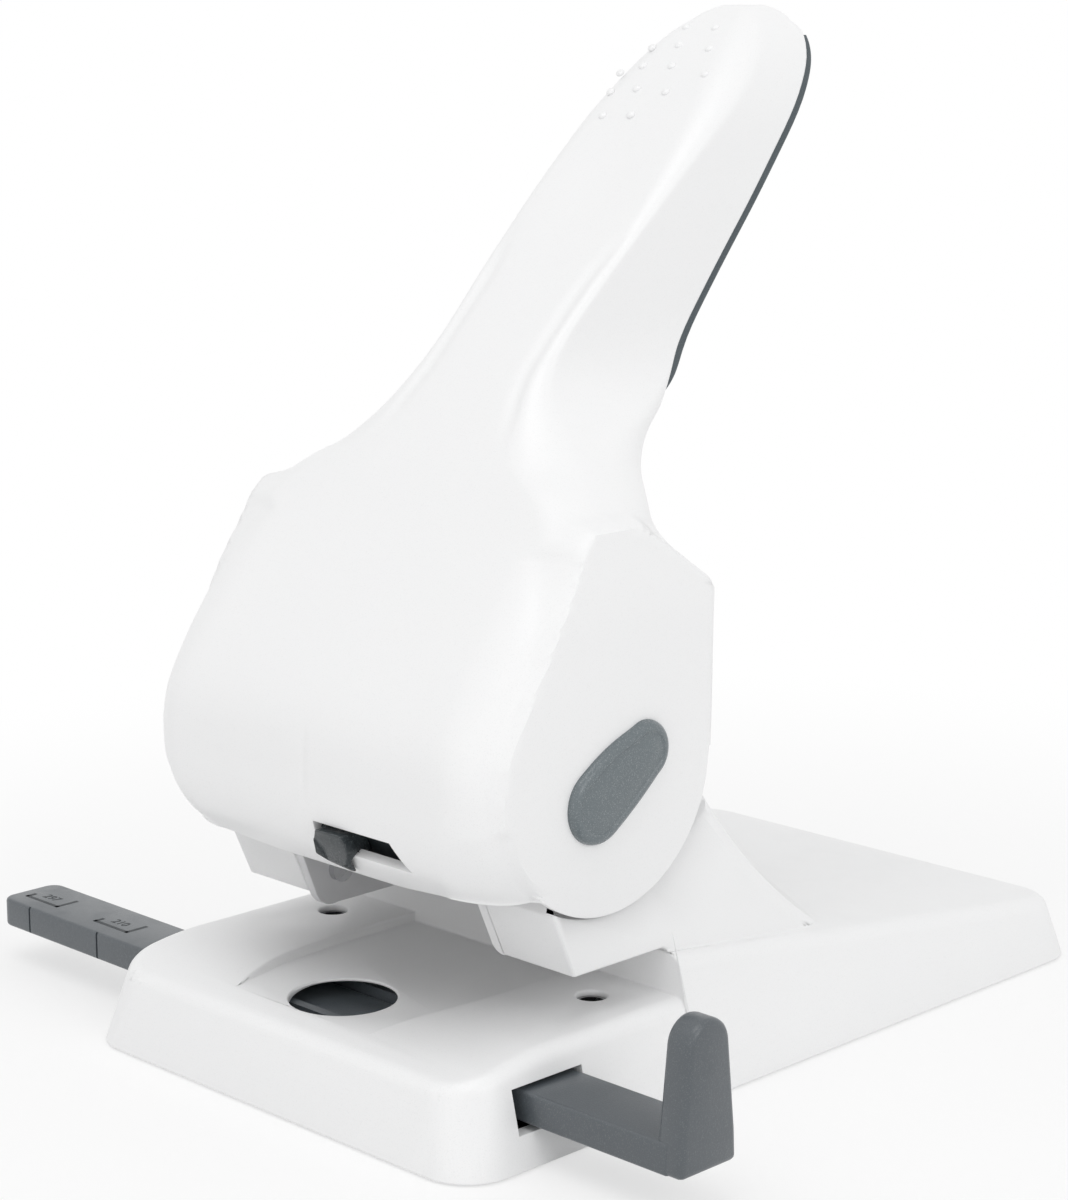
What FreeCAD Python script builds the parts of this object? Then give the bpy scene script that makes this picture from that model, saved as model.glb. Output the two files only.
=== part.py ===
import FreeCAD, Part
import math
import os
from FreeCAD import Vector

# Heavy-duty two-hole punch, in millimetres.
# Frame: X across the paper, -Y the side the paper enters from, +Z up, Z = 0 the desk.
# Sub-parts are drawn about the midpoint of the two punched holes and then moved back, so that
# the origin of the part is the middle of the base's underside.

os.makedirs("parts", exist_ok=True)
doc = FreeCAD.newDocument("TwoHolePunch")
sheet = doc.addObject("Spreadsheet::Sheet", "Sizes")

SIZES = [
    # base footprint and heights
    ("base_length", 202.0),
    ("base_front", 54.5),
    ("base_half_width", 60.0),
    ("base_draft_rise", 34.0),
    ("base_draft_run", 8.2),
    ("front_corner", 11.0),
    ("rear_corner", 12.0),
    ("rim_lift", 0.4),
    ("table_height", 21.3),
    ("crown_start", 27.0),
    ("crown_radius", 68.0),
    ("deck_front_height", 30.2),
    ("deck_rear_height", 13.6),
    ("top_edge_round", 4.0),
    ("wall", 3.0),
    # punched holes and paper throat
    ("hole_pitch", 80.0),
    ("throat_depth", 12.0),
    ("throat_roof", 31.2),
    ("throat_sweep", 6.0),
    # legs and tower
    ("leg_inner", 30.2),
    ("leg_outer", 50.0),
    ("leg_front", 15.4),
    ("leg_front_top", 21.5),
    ("leg_slant_top", 45.0),
    ("leg_floor", 40.4),
    ("leg_skin", 46.2),
    ("tower_wall", 4.0),
    ("tower_top", 65.0),
    ("tower_depth", 34.5),
    ("tower_round", 5.0),
    ("well_floor", 41.0),
    # recess and window of the paper table
    ("recess_half_width", 26.0),
    ("recess_depth", 2.2),
    ("window_offset", 32.3),
    ("window_radius", 11.3),
    # lever pivot
    ("pivot_ahead", 7.2),
    ("pivot_height", 72.0),
    ("axle_radius", 4.0),
    ("running_fit", 0.05),
    ("lever_swing", 50.0),
    ("crank_rise", 25.0),
    # lever shell
    ("lever_rise", 148.0),
    ("lever_back", 103.2),
    ("shield_drop", 25.0),
    ("foot_angle", 231.0),
    ("ear_rise", 32.0),
    ("ear_top", 46.6),
    ("shell_wall", 2.8),
    ("shell_side", 50.0),
    ("shell_side_inner", 48.4),
    ("shield_corner", 8.0),
    ("ear_outer", 51.6),
    ("ear_radius", 29.4),
    ("ear_gap", 0.6),
    ("leg_room", 2.0),
    ("side_gap", 0.3),
    ("ear_edge_round", 1.4),
    ("grip_thickness", 2.4),
    ("grip_rise", 64.5),
    ("grip_length_up", 77.5),
    # pivot caps
    ("cap_thickness", 2.5),
    ("cap_low_radius", 8.3),
    ("cap_high_radius", 6.8),
    ("cap_length", 16.0),
    ("cap_tilt", 31.0),
    ("cap_back", 2.1),
    ("cap_lift", -1.8),
    # punching gear
    ("pin_radius", 2.75),
    ("pin_slip", 0.05),
    ("pin_tip", 31.6),
    ("punch_travel", 13.3),
    ("pin_head_radius", 4.2),
    ("pin_head_height", 1.5),
    ("bush_radius", 5.0),
    ("beam_low", 54.5),
    ("beam_height", 6.0),
    ("beam_front", 6.0),
    ("beam_rear", 7.0),
    ("beam_half_length", 45.4),
    ("spring_radius", 5.0),
    ("spring_wire", 1.2),
    ("spring_seat", 37.0),
    ("spring_pocket", 3.0),
    ("spring_room", 0.5),
    ("yoke_thickness", 4.0),
    ("yoke_inner", 5.0),
    ("drive_rod_radius", 3.0),
    ("yoke_slack", 0.2),
    ("die_half_side", 9.0),
    ("die_top", 19.9),
    ("die_height", 4.0),
    # side plates and lever arms
    ("side_plate_thickness", 2.4),
    ("side_plate_foot", 28.0),
    ("arm_inner", 11.0),
    ("arm_thickness", 3.0),
    ("arm_boss", 9.0),
    ("arm_end", 6.5),
    ("handle_rod_radius", 3.0),
    ("handle_rod_rise", 80.0),
    ("handle_rod_back", 39.2),
    ("rod_seat", 0.8),
    ("clip_radius", 6.5),
    ("clip_thickness", 0.9),
    # lock
    ("lock_slot_left", 2.5),
    ("lock_slot_right", 28.2),
    ("lock_slot_slant", 3.4),
    ("lock_slot_low", 53.4),
    ("lock_slot_high", 58.4),
    ("lock_knob_width", 9.8),
    ("lock_knob_drop", 9.6),
    ("lock_knob_reach", 2.6),
    ("lock_travel", 12.0),
    ("lock_slip", 0.3),
    ("lock_plate_gap", 1.1),
    ("tongue_width", 8.0),
    ("tongue_thickness", 3.0),
    ("tongue_tip_radius", 28.6),
    ("slide_plate_thickness", 1.0),
    ("catch_left", 14.6),
    ("catch_width", 10.0),
    ("catch_thickness", 3.0),
    ("catch_low", 43.5),
    ("catch_high", 54.0),
    ("catch_reach", 30.9),
    ("catch_angle", 165.0),
    ("catch_span", 7.0),
    # paper guide
    ("guide_front", 35.8),
    ("guide_width", 15.6),
    ("guide_low", 8.5),
    ("guide_height", 6.5),
    ("guide_left", 117.5),
    ("stop_inner", 90.5),
    ("stop_thickness", 6.5),
    ("stop_height", 29.6),
    ("stop_round", 5.6),
    ("guide_clearance", 0.4),
    ("guide_room_front", 3.1),
    ("guide_room_rear", 0.55),
    ("guide_room_low", 1.3),
    ("guide_room_high", 1.1),
    ("keeper_wall", 2.2),
    ("keeper_half_length", 46.0),
    ("detent_thickness", 0.5),
    # underside
    ("pad_thickness", 1.2),
    ("plate_thickness", 1.4),
    ("plate_inset", 0.4),
    ("post_radius", 4.0),
    ("post_front_x", 43.5),
    ("post_front_y", 46.0),
    ("post_middle_x", 47.5),
    ("post_middle_y", 62.0),
    ("post_rear_x", 36.0),
    ("post_rear_y", 128.0),
    ("screw_length", 8.0),
    ("door_half_width", 45.5),
    ("door_front", 13.0),
    ("door_rear", 35.0),
    ("door_thickness", 1.8),
    ("door_gap", 0.5),
    ("door_pin_radius", 0.9),
    ("door_pin_height", 2.7),
    ("door_pin_inset", 0.7),
    ("door_lug", 2.4),
    ("hinge_room", 2.9),
    # small fasteners
    ("screw_radius", 1.5),
    ("screw_head_radius", 2.9),
    ("screw_head_height", 1.6),
    ("overrun", 5.0),
]

for row, (alias, number) in enumerate(SIZES, start=1):
    sheet.set(f"A{row}", alias)
    sheet.set(f"B{row}", str(number))
    sheet.setAlias(f"B{row}", alias)
doc.recompute()


def size(alias):
    """One driving dimension, read from the sheet."""
    return float(sheet.get(alias))


def value(formula):
    """The number that a formula over the sheet gives."""
    return float(sheet.evalExpression(formula))


HOLE_LINE = "Sizes.base_front - Sizes.base_length / 2"
nodes = {}


def keep(obj, label):
    """Names a finished sub-part and moves it from the hole line to the part's origin."""
    obj.Label = label
    moved = obj.Placement.Base.y
    obj.setExpression(".Placement.Base.y", f"{HOLE_LINE} + ({moved})" if moved else HOLE_LINE)
    nodes[label] = obj
    return obj


def keep_shape(label, shape):
    """Keeps a shape built from Part's own functions as a sub-part."""
    feature = doc.addObject("Part::Feature", label)
    feature.Shape = shape.removeSplitter()
    feature.Placement = FreeCAD.Placement(Vector(0, value(HOLE_LINE), 0), FreeCAD.Rotation())
    feature.Label = label
    nodes[label] = feature
    return feature


def rod(label, radius, length, start, y_place, z_place):
    """A plain rod along X."""
    cylinder = doc.addObject("Part::Cylinder", label)
    cylinder.Placement = FreeCAD.Placement(Vector(0, 0, 0), FreeCAD.Rotation(Vector(0, 1, 0), 90))
    cylinder.setExpression("Radius", radius)
    cylinder.setExpression("Height", length)
    cylinder.setExpression(".Placement.Base.x", start)
    cylinder.setExpression(".Placement.Base.y", f"{HOLE_LINE} + {y_place}")
    cylinder.setExpression(".Placement.Base.z", z_place)
    cylinder.Label = label
    nodes[label] = cylinder
    return cylinder


def side_wire(start, steps):
    """A closed wire in the side view. A step is the next (y, z) point, or the middle and end of an arc."""
    edges = []
    here = Vector(0, *start)
    for step in steps + [start]:
        if isinstance(step[0], tuple):
            middle, end = (Vector(0, *point) for point in step)
            edges.append(Part.Arc(here, middle, end).toShape())
        else:
            end = Vector(0, *step)
            edges.append(Part.LineSegment(here, end).toShape())
        here = end
    return Part.Wire(edges)


def prism(start, steps, low_x, high_x):
    """A solid between two X planes from an outline in the side view."""
    wire = side_wire(start, steps)
    wire.translate(Vector(low_x, 0, 0))
    return Part.Face(wire).extrude(Vector(high_x - low_x, 0, 0))


def both_sides(shape):
    """A shape on the +X side together with its mirror image."""
    return shape.fuse(shape.mirror(Vector(0, 0, 0), Vector(1, 0, 0)))


def box_between(low, high):
    span = high - low
    return Part.makeBox(span.x, span.y, span.z, low)


def round_rectangle(half_width, front, rear, front_round, rear_across, rear_along, height):
    """A flat closed wire: a rectangle with two round front corners and two oval rear corners."""
    def corner(x_centre, y_centre, across, along, x_sign, y_sign):
        middle_share = math.sqrt(0.5)
        side = x_sign * across
        end = y_sign * along
        return (
            Vector(x_centre + side, y_centre, height),
            Vector(x_centre + side * middle_share, y_centre + end * middle_share, height),
            Vector(x_centre, y_centre + end, height),
        )

    front_x = half_width - front_round
    front_y = front + front_round
    rear_x = half_width - rear_across
    rear_y = rear - rear_along
    right_front = corner(front_x, front_y, front_round, front_round, 1, -1)
    right_rear = corner(rear_x, rear_y, rear_across, rear_along, 1, 1)
    left_rear = corner(-rear_x, rear_y, rear_across, rear_along, -1, 1)
    left_front = corner(-front_x, front_y, front_round, front_round, -1, -1)
    edges = [
        Part.Arc(*reversed(right_front)).toShape(),
        Part.LineSegment(right_front[0], right_rear[0]).toShape(),
        Part.Arc(*right_rear).toShape(),
        Part.LineSegment(right_rear[2], left_rear[2]).toShape(),
        Part.Arc(*reversed(left_rear)).toShape(),
        Part.LineSegment(left_rear[0], left_front[0]).toShape(),
        Part.Arc(*left_front).toShape(),
        Part.LineSegment(left_front[2], right_front[2]).toShape(),
    ]
    return Part.Wire(edges)


def base_block(inset, foot, top):
    """The drafted footprint block of the base, drawn in by an inset on every side."""
    rise = size("base_draft_rise")
    run = size("base_draft_run")
    front = -size("base_front")
    rear = size("base_length") - size("base_front")
    wires = []
    for height in (foot, top):
        draw_in = inset + run * height / rise
        wires.append(round_rectangle(
            size("base_half_width") - draw_in, front + draw_in, rear - draw_in,
            size("front_corner") - inset, size("rear_corner") - inset, size("rear_corner") - inset, height,
        ))
    return Part.makeLoft(wires, True, True)


# Start, middle and end of the hollow curve at the back of the tower: places behind the throat as
# shares of tower_depth, heights as shares of tower_top, and the share of a wall that each place and
# each height is drawn in by on the inside.
REAR_CURVE_SHARES = [
    (0.3, 1.0, 1.0, 0.0),
    (0.68, 0.745, 0.7, 0.7),
    (1.6, 0.34, 0.6, 0.8),
]


def rear_curve(inset):
    """Start, middle and end of the hollow curve at the back of the tower, drawn in by a wall."""
    throat = size("throat_depth")
    top = size("tower_top")
    depth = size("tower_depth")
    return [(throat + depth * back - inset * back_inset, top * up - inset * up_inset)
            for back, up, back_inset, up_inset in REAR_CURVE_SHARES]


def deck_height(y_place):
    """Height of the sloping rear deck."""
    front = size("throat_depth")
    rear = size("base_length") - size("base_front")
    fall = size("deck_front_height") - size("deck_rear_height")
    return size("deck_front_height") - fall * (y_place - front) / (rear - front)


def base_prism(drop, step_y):
    """Everything under the table and the deck, lowered by a wall when it is the hollow."""
    reach = size("base_length")
    foot = -size("overrun")
    table = size("table_height") - drop
    radius = size("crown_radius") - drop
    crown_y = -size("crown_start")
    whole_turn = math.asin((size("base_front") + size("overrun") + crown_y) / radius)
    edge, middle = [(crown_y - radius * math.sin(turn), table - radius * (1 - math.cos(turn)))
                    for turn in (whole_turn, whole_turn / 2)]
    steps = [
        edge,
        (middle, (crown_y, table)),
        (step_y, table),
        (step_y, deck_height(step_y) - drop),
        (reach, deck_height(reach) - drop),
        (reach, foot),
    ]
    return prism((edge[0], foot), steps, -reach, reach)


# Upper front corner of a leg: place as a share of leg_front_top, height as a share of leg_slant_top.
LEG_FRONT_SHARES = (0.93, 1.15)
# Height at which a leg meets the tower, as a share of leg_slant_top.
LEG_REAR_SHARE = 1.26
# Curved end of the throat: place and height of its middle, and how far ahead of the end it starts,
# as shares of throat_sweep, of the throat's height and of throat_sweep.
THROAT_CURVE_SHARES = (0.6, 0.5, 0.2)


def leg_prism(side):
    """Legs, tower side walls and the curved end of the throat, across a half width."""
    throat = size("throat_depth")
    sweep = size("throat_sweep")
    roof = size("throat_roof")
    table = size("table_height")
    start, middle, end = rear_curve(0)
    foot = size("wall") * 2
    corner_back, corner_up = LEG_FRONT_SHARES
    curve_back, curve_up, curve_ahead = THROAT_CURVE_SHARES
    curve_middle = (throat + sweep * curve_back, table + (roof - table) * curve_up)
    steps = [
        (-size("leg_front_top"), size("leg_slant_top")),
        (-size("leg_front_top") * corner_back, size("leg_slant_top") * corner_up),
        (throat, size("leg_slant_top") * LEG_REAR_SHARE),
        start,
        (middle, end),
        (end[0], foot),
        (throat + sweep, foot),
        (throat + sweep, table - size("wall")),
        (curve_middle, (throat - sweep * curve_ahead, roof)),
    ]
    return prism((-size("leg_front"), roof), steps, -side, side)


def build_base_housing():
    """White housing: paper table, sloping deck, tower and the two legs over the paper throat."""
    top = size("base_draft_rise")
    foot = size("rim_lift")
    outer = base_block(0, foot, top).common(base_prism(0, size("throat_depth")))
    outer = outer.makeFillet(size("top_edge_round"), table_rim_edges(outer))
    tower = leg_prism(size("leg_outer"))
    tower = tower.makeFillet(size("tower_round"), tower_back_edges(tower))
    body = outer.fuse(tower)

    wall = size("wall")
    step_y = size("throat_depth") + size("throat_sweep") + wall
    hollow = base_block(wall, -size("overrun"), top).common(base_prism(wall, step_y))
    body = body.cut(hollow).cut(tower_hollow())
    gap = box_between(
        Vector(-size("leg_inner"), -size("base_front"), size("table_height")),
        Vector(size("leg_inner"), size("throat_depth"), size("tower_top") * 2),
    )
    body = body.cut(gap).cut(well_prism()).cut(ear_recess())
    body = body.fuse(screw_posts())
    body = body.cut(table_recess()).cut(guide_slot_room())
    body = body.cut(pin_and_die_rooms()).cut(housing_screw_holes())
    window = Part.makeCylinder(size("window_radius"), size("table_height"),
                               Vector(0, -size("window_offset"), size("guide_low")))
    return keep_shape("base_housing", body.cut(window))


# Limits between which an edge counts as part of the rim: the side as a share of base_half_width,
# the top as a share of deck_rear_height, the front as a share of base_front, the rear as a share of
# the place of the rear face, and an upright's run as a share of top_edge_round.
RIM_LIMIT_SHARES = {"side": 0.5, "top": 0.9, "front": 0.8, "rear": 0.9, "upright": 0.5}


def table_rim_edges(shape):
    """Edges round the top of the table and deck, apart from those of the step between them."""
    rim = []
    inside = size("base_half_width") * RIM_LIMIT_SHARES["side"]
    front = -size("base_front") * RIM_LIMIT_SHARES["front"]
    rear = (size("base_length") - size("base_front")) * RIM_LIMIT_SHARES["rear"]
    run = size("top_edge_round") * RIM_LIMIT_SHARES["upright"]
    for edge in shape.Edges:
        box = edge.BoundBox
        on_top = box.ZMin > size("deck_rear_height") * RIM_LIMIT_SHARES["top"]
        at_side = abs(box.Center.x) > inside
        at_end = box.Center.y < front or box.Center.y > rear
        upright = box.YLength < run and box.XLength < size("base_half_width")
        if on_top and (at_side or at_end) and not upright:
            rim.append(edge)
    return rim


# How far behind the throat the tower's back edges lie at least, as a share of tower_depth.
TOWER_BACK_SHARE = 0.2


def tower_back_edges(shape):
    """The two long curved edges at the back of the tower."""
    depth = size("throat_depth") + size("tower_depth") * TOWER_BACK_SHARE
    return [
        edge for edge in shape.Edges
        if edge.BoundBox.YMin > depth and edge.BoundBox.XLength < size("wall")
        and isinstance(edge.Curve, Part.Circle)
    ]


# Front of the well as a share of tower_wall, and how far its floor runs behind the curve's middle
# as a share of the fall between them.
WELL_FRONT_SHARE = 0.25
WELL_FLOOR_SHARE = 0.8
# How far the foot's hollow runs ahead of the rear curve's end, as a share of the fall between them.
FOOT_HOLLOW_SHARE = 1.3


def well_prism():
    """The open well that holds the punching gear."""
    start, middle, end = rear_curve(size("tower_wall"))
    front = -size("leg_front") - size("tower_wall") * WELL_FRONT_SHARE
    floor = size("well_floor")
    above = size("tower_top") * 2
    steps = [
        (size("throat_depth"), size("leg_floor")),
        (size("throat_depth"), floor),
        (middle[0] + (middle[1] - floor) * WELL_FLOOR_SHARE, floor),
        middle,
        start,
        (start[0], above),
        (front, above),
    ]
    return prism((front, size("leg_floor")), steps, -size("leg_skin"), size("leg_skin"))


def tower_hollow():
    """The hollow that opens the tower's foot from below."""
    wall = size("tower_wall")
    front = size("throat_depth") + size("throat_sweep") + size("wall")
    top = size("well_floor") - wall
    end = rear_curve(wall)[2]
    steps = [
        (front, top),
        (end[0] - (top - end[1]) * FOOT_HOLLOW_SHARE, top),
        end,
        (end[0], -size("overrun")),
    ]
    half = size("leg_outer") - size("wall")
    return prism((front, -size("overrun")), steps, -half, half)


def ear_recess():
    """Shallow round seats in the outer faces of the legs, in which the lever's ears turn."""
    radius = size("ear_radius") + size("ear_gap")
    inner = size("shell_side_inner") - size("side_gap")
    seat = Part.makeCylinder(radius, size("leg_outer"), Vector(inner, -size("pivot_ahead"),
                                                               size("pivot_height")), Vector(1, 0, 0))
    above = box_between(
        Vector(inner, -size("lever_back"), size("pivot_height")),
        Vector(inner + size("leg_outer"), size("lever_back"), size("pivot_height") * 2),
    )
    return both_sides(seat.fuse(above).fuse(ear_sweep(inner)))


def ear_sweep(inner):
    """Room behind the pivot for the straight rear edge of an ear when the lever is pressed."""
    radius = size("ear_radius") + size("ear_gap")
    swing = math.radians(size("lever_swing"))
    pivot = (-size("pivot_ahead"), size("pivot_height"))
    length = size("ear_top")
    touch = (pivot[0] + radius * math.cos(swing), pivot[1] - radius * math.sin(swing))
    far = (touch[0] + length * math.sin(swing), touch[1] + length * math.cos(swing))
    above = size("pivot_height") * 2
    steps = [touch, far, (far[0], above), (pivot[0], above)]
    return prism(pivot, steps, inner, inner + size("leg_outer"))


# Right-hand edge of the table's recess: places across as shares of recess_half_width and places
# along as shares of base_front.
RECESS_EDGE_SHARES = [(1.0, 0.24), (1.0, -0.2), (0.95, -0.5), (0.84, -0.72), (0.7, -0.9), (0.52, -1.1)]


def table_recess():
    """Shallow tapering recess of the table, whose level floor runs out where the table falls."""
    floor = size("table_height") - size("recess_depth")
    half = size("recess_half_width")
    front = size("base_front")
    throat = size("throat_depth")
    right = [(half * across, min(front * along, throat)) for across, along in RECESS_EDGE_SHARES]
    outline = right + [(-across, along) for across, along in right[::-1]]
    points = [Vector(across, along, floor) for across, along in outline + outline[:1]]
    return Part.Face(Part.makePolygon(points)).extrude(Vector(0, 0, size("throat_roof")))


def guide_slot_room():
    """The slot through both flanks for the guide bar."""
    reach = size("base_half_width") + size("overrun")
    return box_between(
        Vector(-reach, -size("guide_front") - size("guide_room_front"),
               size("guide_low") - size("guide_room_low")),
        Vector(reach, size("guide_width") - size("guide_front") + size("guide_room_rear"),
               size("guide_low") + size("guide_height") + size("guide_room_high")),
    )


def pin_and_die_rooms():
    """Table holes, die seats, guide bush bores and spring chambers on both hole centres."""
    x_hole = size("hole_pitch") / 2
    tools = []
    for x_place in (-x_hole, x_hole):
        foot = Vector(x_place, 0, size("rim_lift"))
        tools.append(Part.makeCylinder(size("pin_radius") + size("door_gap"), size("table_height"), foot))
        half = size("die_half_side")
        tools.append(box_between(
            Vector(x_place - half, -half, size("die_top") - size("die_height")),
            Vector(x_place + half, half, size("die_top")),
        ))
        tools.append(Part.makeCylinder(size("bush_radius"), size("leg_floor") - size("throat_roof"),
                                       Vector(x_place, 0, size("throat_roof"))))
        chamber = size("spring_radius") + size("spring_wire") / 2 + size("spring_room")
        tools.append(Part.makeCylinder(chamber, size("leg_slant_top"), Vector(x_place, 0, size("spring_seat"))))
    rooms = tools[0]
    for tool in tools[1:]:
        rooms = rooms.fuse(tool)
    return rooms


def post_places():
    """Centres of the six screw posts under the housing."""
    places = []
    for across, along in (
        (size("post_front_x"), -size("post_front_y")),
        (size("post_middle_x"), size("post_middle_y")),
        (size("post_rear_x"), size("post_rear_y")),
    ):
        places += [(-across, along), (across, along)]
    return places


def joined(shapes):
    whole = shapes[0]
    for shape in shapes[1:]:
        whole = whole.fuse(shape)
    return whole


def plate_top():
    return size("pad_thickness") + size("plate_thickness")


# How deep a post grows into the table and into the deck, as shares of wall below their faces.
POST_TOP_SHARES = (1.5, 0.5)
# How far the screws reach into their bores, as a share of screw_length.
SCREW_REACH_SHARE = 0.8


def screw_posts():
    """Posts that stand on the base plate and grow into the table or the deck above."""
    low = plate_top()
    wall = size("wall")
    table_share, deck_share = POST_TOP_SHARES
    posts = []
    for across, along in post_places():
        if along < size("throat_depth"):
            top = size("table_height") - wall * table_share
        else:
            top = deck_height(along) - wall * deck_share
        posts.append(Part.makeCylinder(size("post_radius"), top - low, Vector(across, along, low)))
    return joined(posts)


def housing_screw_holes():
    """Blind bores for the screws of the base plate and of the side plates."""
    radius = size("screw_radius") + size("running_fit")
    low = plate_top()
    holes = [
        Part.makeCylinder(radius, size("screw_length"), Vector(across, along, low))
        for across, along in post_places()
    ]
    for side, along, height in frame_screw_places():
        start = Vector(side * size("leg_inner"), along, height)
        holes.append(Part.makeCylinder(radius, size("screw_length"), start, Vector(side, 0, 0)))
    return joined(holes)


def frame_screw_places():
    """Side, Y and Z of the screws that hold the side plates to the legs."""
    height = (size("throat_roof") + size("leg_floor")) / 2
    along_share = 0.74
    along = size("throat_depth") * along_share
    return [(side, place, height) for side in (-1, 1) for place in (-along, along)]


# Level sections of the lever, from its foot to its tip. Heights above the pivot are shares of
# lever_rise, places of the front and the back are shares of lever_back, half widths are shares of
# shell_side, front corner radii are shares of shield_corner, and how far the rear corners are
# rounded across and along are shares of shell_side.
LEVER_SECTION_SHARES = [
    (-0.1959, -0.2016, 0.3217, 1.0000, 1.50, 0.05, 0.05),
    (-0.1689, -0.2500, 0.3217, 1.0000, 1.50, 0.05, 0.05),
    (-0.1486, -0.2878, 0.3217, 1.0000, 1.50, 0.05, 0.05),
    (-0.1250, -0.3140, 0.3217, 1.0000, 1.50, 0.05, 0.05),
    (-0.1014, -0.3314, 0.3217, 1.0000, 1.50, 0.05, 0.05),
    (-0.0743, -0.3411, 0.3217, 1.0000, 1.35, 0.05, 0.05),
    (-0.0338, -0.3430, 0.3217, 1.0000, 1.20, 0.05, 0.05),
    (0.0068, -0.3430, 0.3217, 1.0000, 1.20, 0.05, 0.05),
    (0.0405, -0.3372, 0.3217, 1.0000, 1.30, 0.05, 0.05),
    (0.0743, -0.3198, 0.3217, 1.0000, 1.45, 0.05, 0.05),
    (0.1115, -0.2888, 0.3217, 1.0000, 1.45, 0.05, 0.05),
    (0.1486, -0.2510, 0.3217, 1.0000, 1.35, 0.05, 0.06),
    (0.1892, -0.2074, 0.3217, 1.0000, 1.25, 0.05, 0.06),
    (0.2230, -0.1705, 0.3246, 1.0000, 1.15, 0.08, 0.10),
    (0.2534, -0.1357, 0.3295, 0.9980, 1.05, 0.17, 0.22),
    (0.2838, -0.1008, 0.3362, 0.9920, 1.00, 0.33, 0.42),
    (0.3074, -0.0746, 0.3459, 0.9740, 1.00, 0.48, 0.56),
    (0.3277, -0.0533, 0.3605, 0.9260, 1.00, 0.58, 0.64),
    (0.3581, -0.0233, 0.3876, 0.8000, 1.00, 0.52, 0.64),
    (0.3919, 0.0116, 0.4234, 0.6500, 1.00, 0.40, 0.54),
    (0.4324, 0.0572, 0.4719, 0.5120, 1.00, 0.20, 0.32),
    (0.4594, 0.0876, 0.5023, 0.4450, 0.95, 0.06, 0.09),
    (0.4797, 0.1105, 0.5252, 0.4000, 0.90, 0.02, 0.02),
    (0.5405, 0.1909, 0.5930, 0.3520, 0.80, 0.02, 0.02),
    (0.6284, 0.3159, 0.6802, 0.3680, 0.75, 0.02, 0.02),
    (0.7297, 0.4612, 0.7868, 0.3860, 0.75, 0.02, 0.02),
    (0.8311, 0.6027, 0.8924, 0.3920, 0.75, 0.02, 0.02),
    (0.8649, 0.6512, 0.9293, 0.3780, 0.75, 0.02, 0.02),
    (0.8986, 0.7025, 0.9632, 0.3520, 0.75, 0.02, 0.02),
    (0.9243, 0.7432, 0.9845, 0.3220, 0.75, 0.02, 0.02),
    (0.9459, 0.7791, 0.9981, 0.2840, 0.70, 0.02, 0.02),
    (0.9642, 0.8101, 1.0000, 0.2420, 0.60, 0.02, 0.02),
    (0.9797, 0.8450, 0.9942, 0.1920, 0.50, 0.02, 0.02),
    (0.9905, 0.8740, 0.9835, 0.1400, 0.40, 0.02, 0.02),
    (0.9986, 0.9031, 0.9632, 0.0800, 0.25, 0.02, 0.02),
]

# Top of the lever's hollow as a share of its rise, its walls in front and behind as shares of
# shell_wall, and the most that a corner may take of its section.
HOLLOW_TOP_SHARE = 0.9
FRONT_INSET_SHARE = 1.3
REAR_INSET_SHARE = 0.7
CORNER_LIMIT_SHARE = 0.92

# Reach of the profile that trims the lever and its top as shares of lever_back and lever_rise, and
# the place of its foot as a share of lever_back.
TRIM_REACH_SHARE = 1.2
TRIM_TOP_SHARE = 1.1
TRIM_FOOT_SHARE = 0.25

# Depth of the grip's slice along Y as a share of grip_thickness, across the slanting back.
GRIP_SLICE_SHARE = 1.22

# Half width of the handle at its rod, as a share of shell_side, and reach of the axle's bore as a
# share of ear_outer.
HANDLE_WIDTH_SHARE = 0.352
AXLE_BORE_SHARE = 1.2

# Height over which a cap's edge is looked for and its rounding, as shares of cap_thickness.
CAP_FACE_SHARE = 0.9
CAP_ROUND_SHARE = 0.4

# Outline of an ear above its round foot: places behind the pivot are shares of ear_radius and
# heights are shares of ear_top.
EAR_OUTLINE_SHARES = [
    (1.00, 0.70),
    (0.97, 0.77),
    (0.88, 0.83),
    (0.68, 0.93),
    (0.48, 1.00),
    (-0.14, 1.00),
    (-0.23, 0.965),
    (-0.34, 0.85),
    (-0.62, 0.52),
    (-0.76, 0.38),
    (-0.87, 0.245),
    (-0.96, 0.13),
]
# Rounded edge of an ear's outer face: depths under the face and insets as shares of ear_edge_round.
EAR_EDGE_SHARES = [(1.0, 0.0), (0.3, 0.3), (0.0, 1.0)]
# Outline of the lock knob seen from the front: places across as shares of the stem's width and
# drops from the stem's top as shares of lock_knob_drop.
KNOB_OUTLINE_SHARES = [
    (0.0, 0.26),
    (0.2, 0.0),
    (1.0, 0.0),
    (1.05, 0.38),
    (0.84, 0.74),
    (0.60, 1.0),
    (0.36, 0.82),
    (0.10, 0.54),
]


def pivot_place(back=0.0, up=0.0):
    """A point of the side view, given from the lever's pivot."""
    return (back - size("pivot_ahead"), up + size("pivot_height"))


def round_pivot(radius, degrees):
    turn = math.radians(degrees)
    return pivot_place(radius * math.cos(turn), radius * math.sin(turn))


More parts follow.
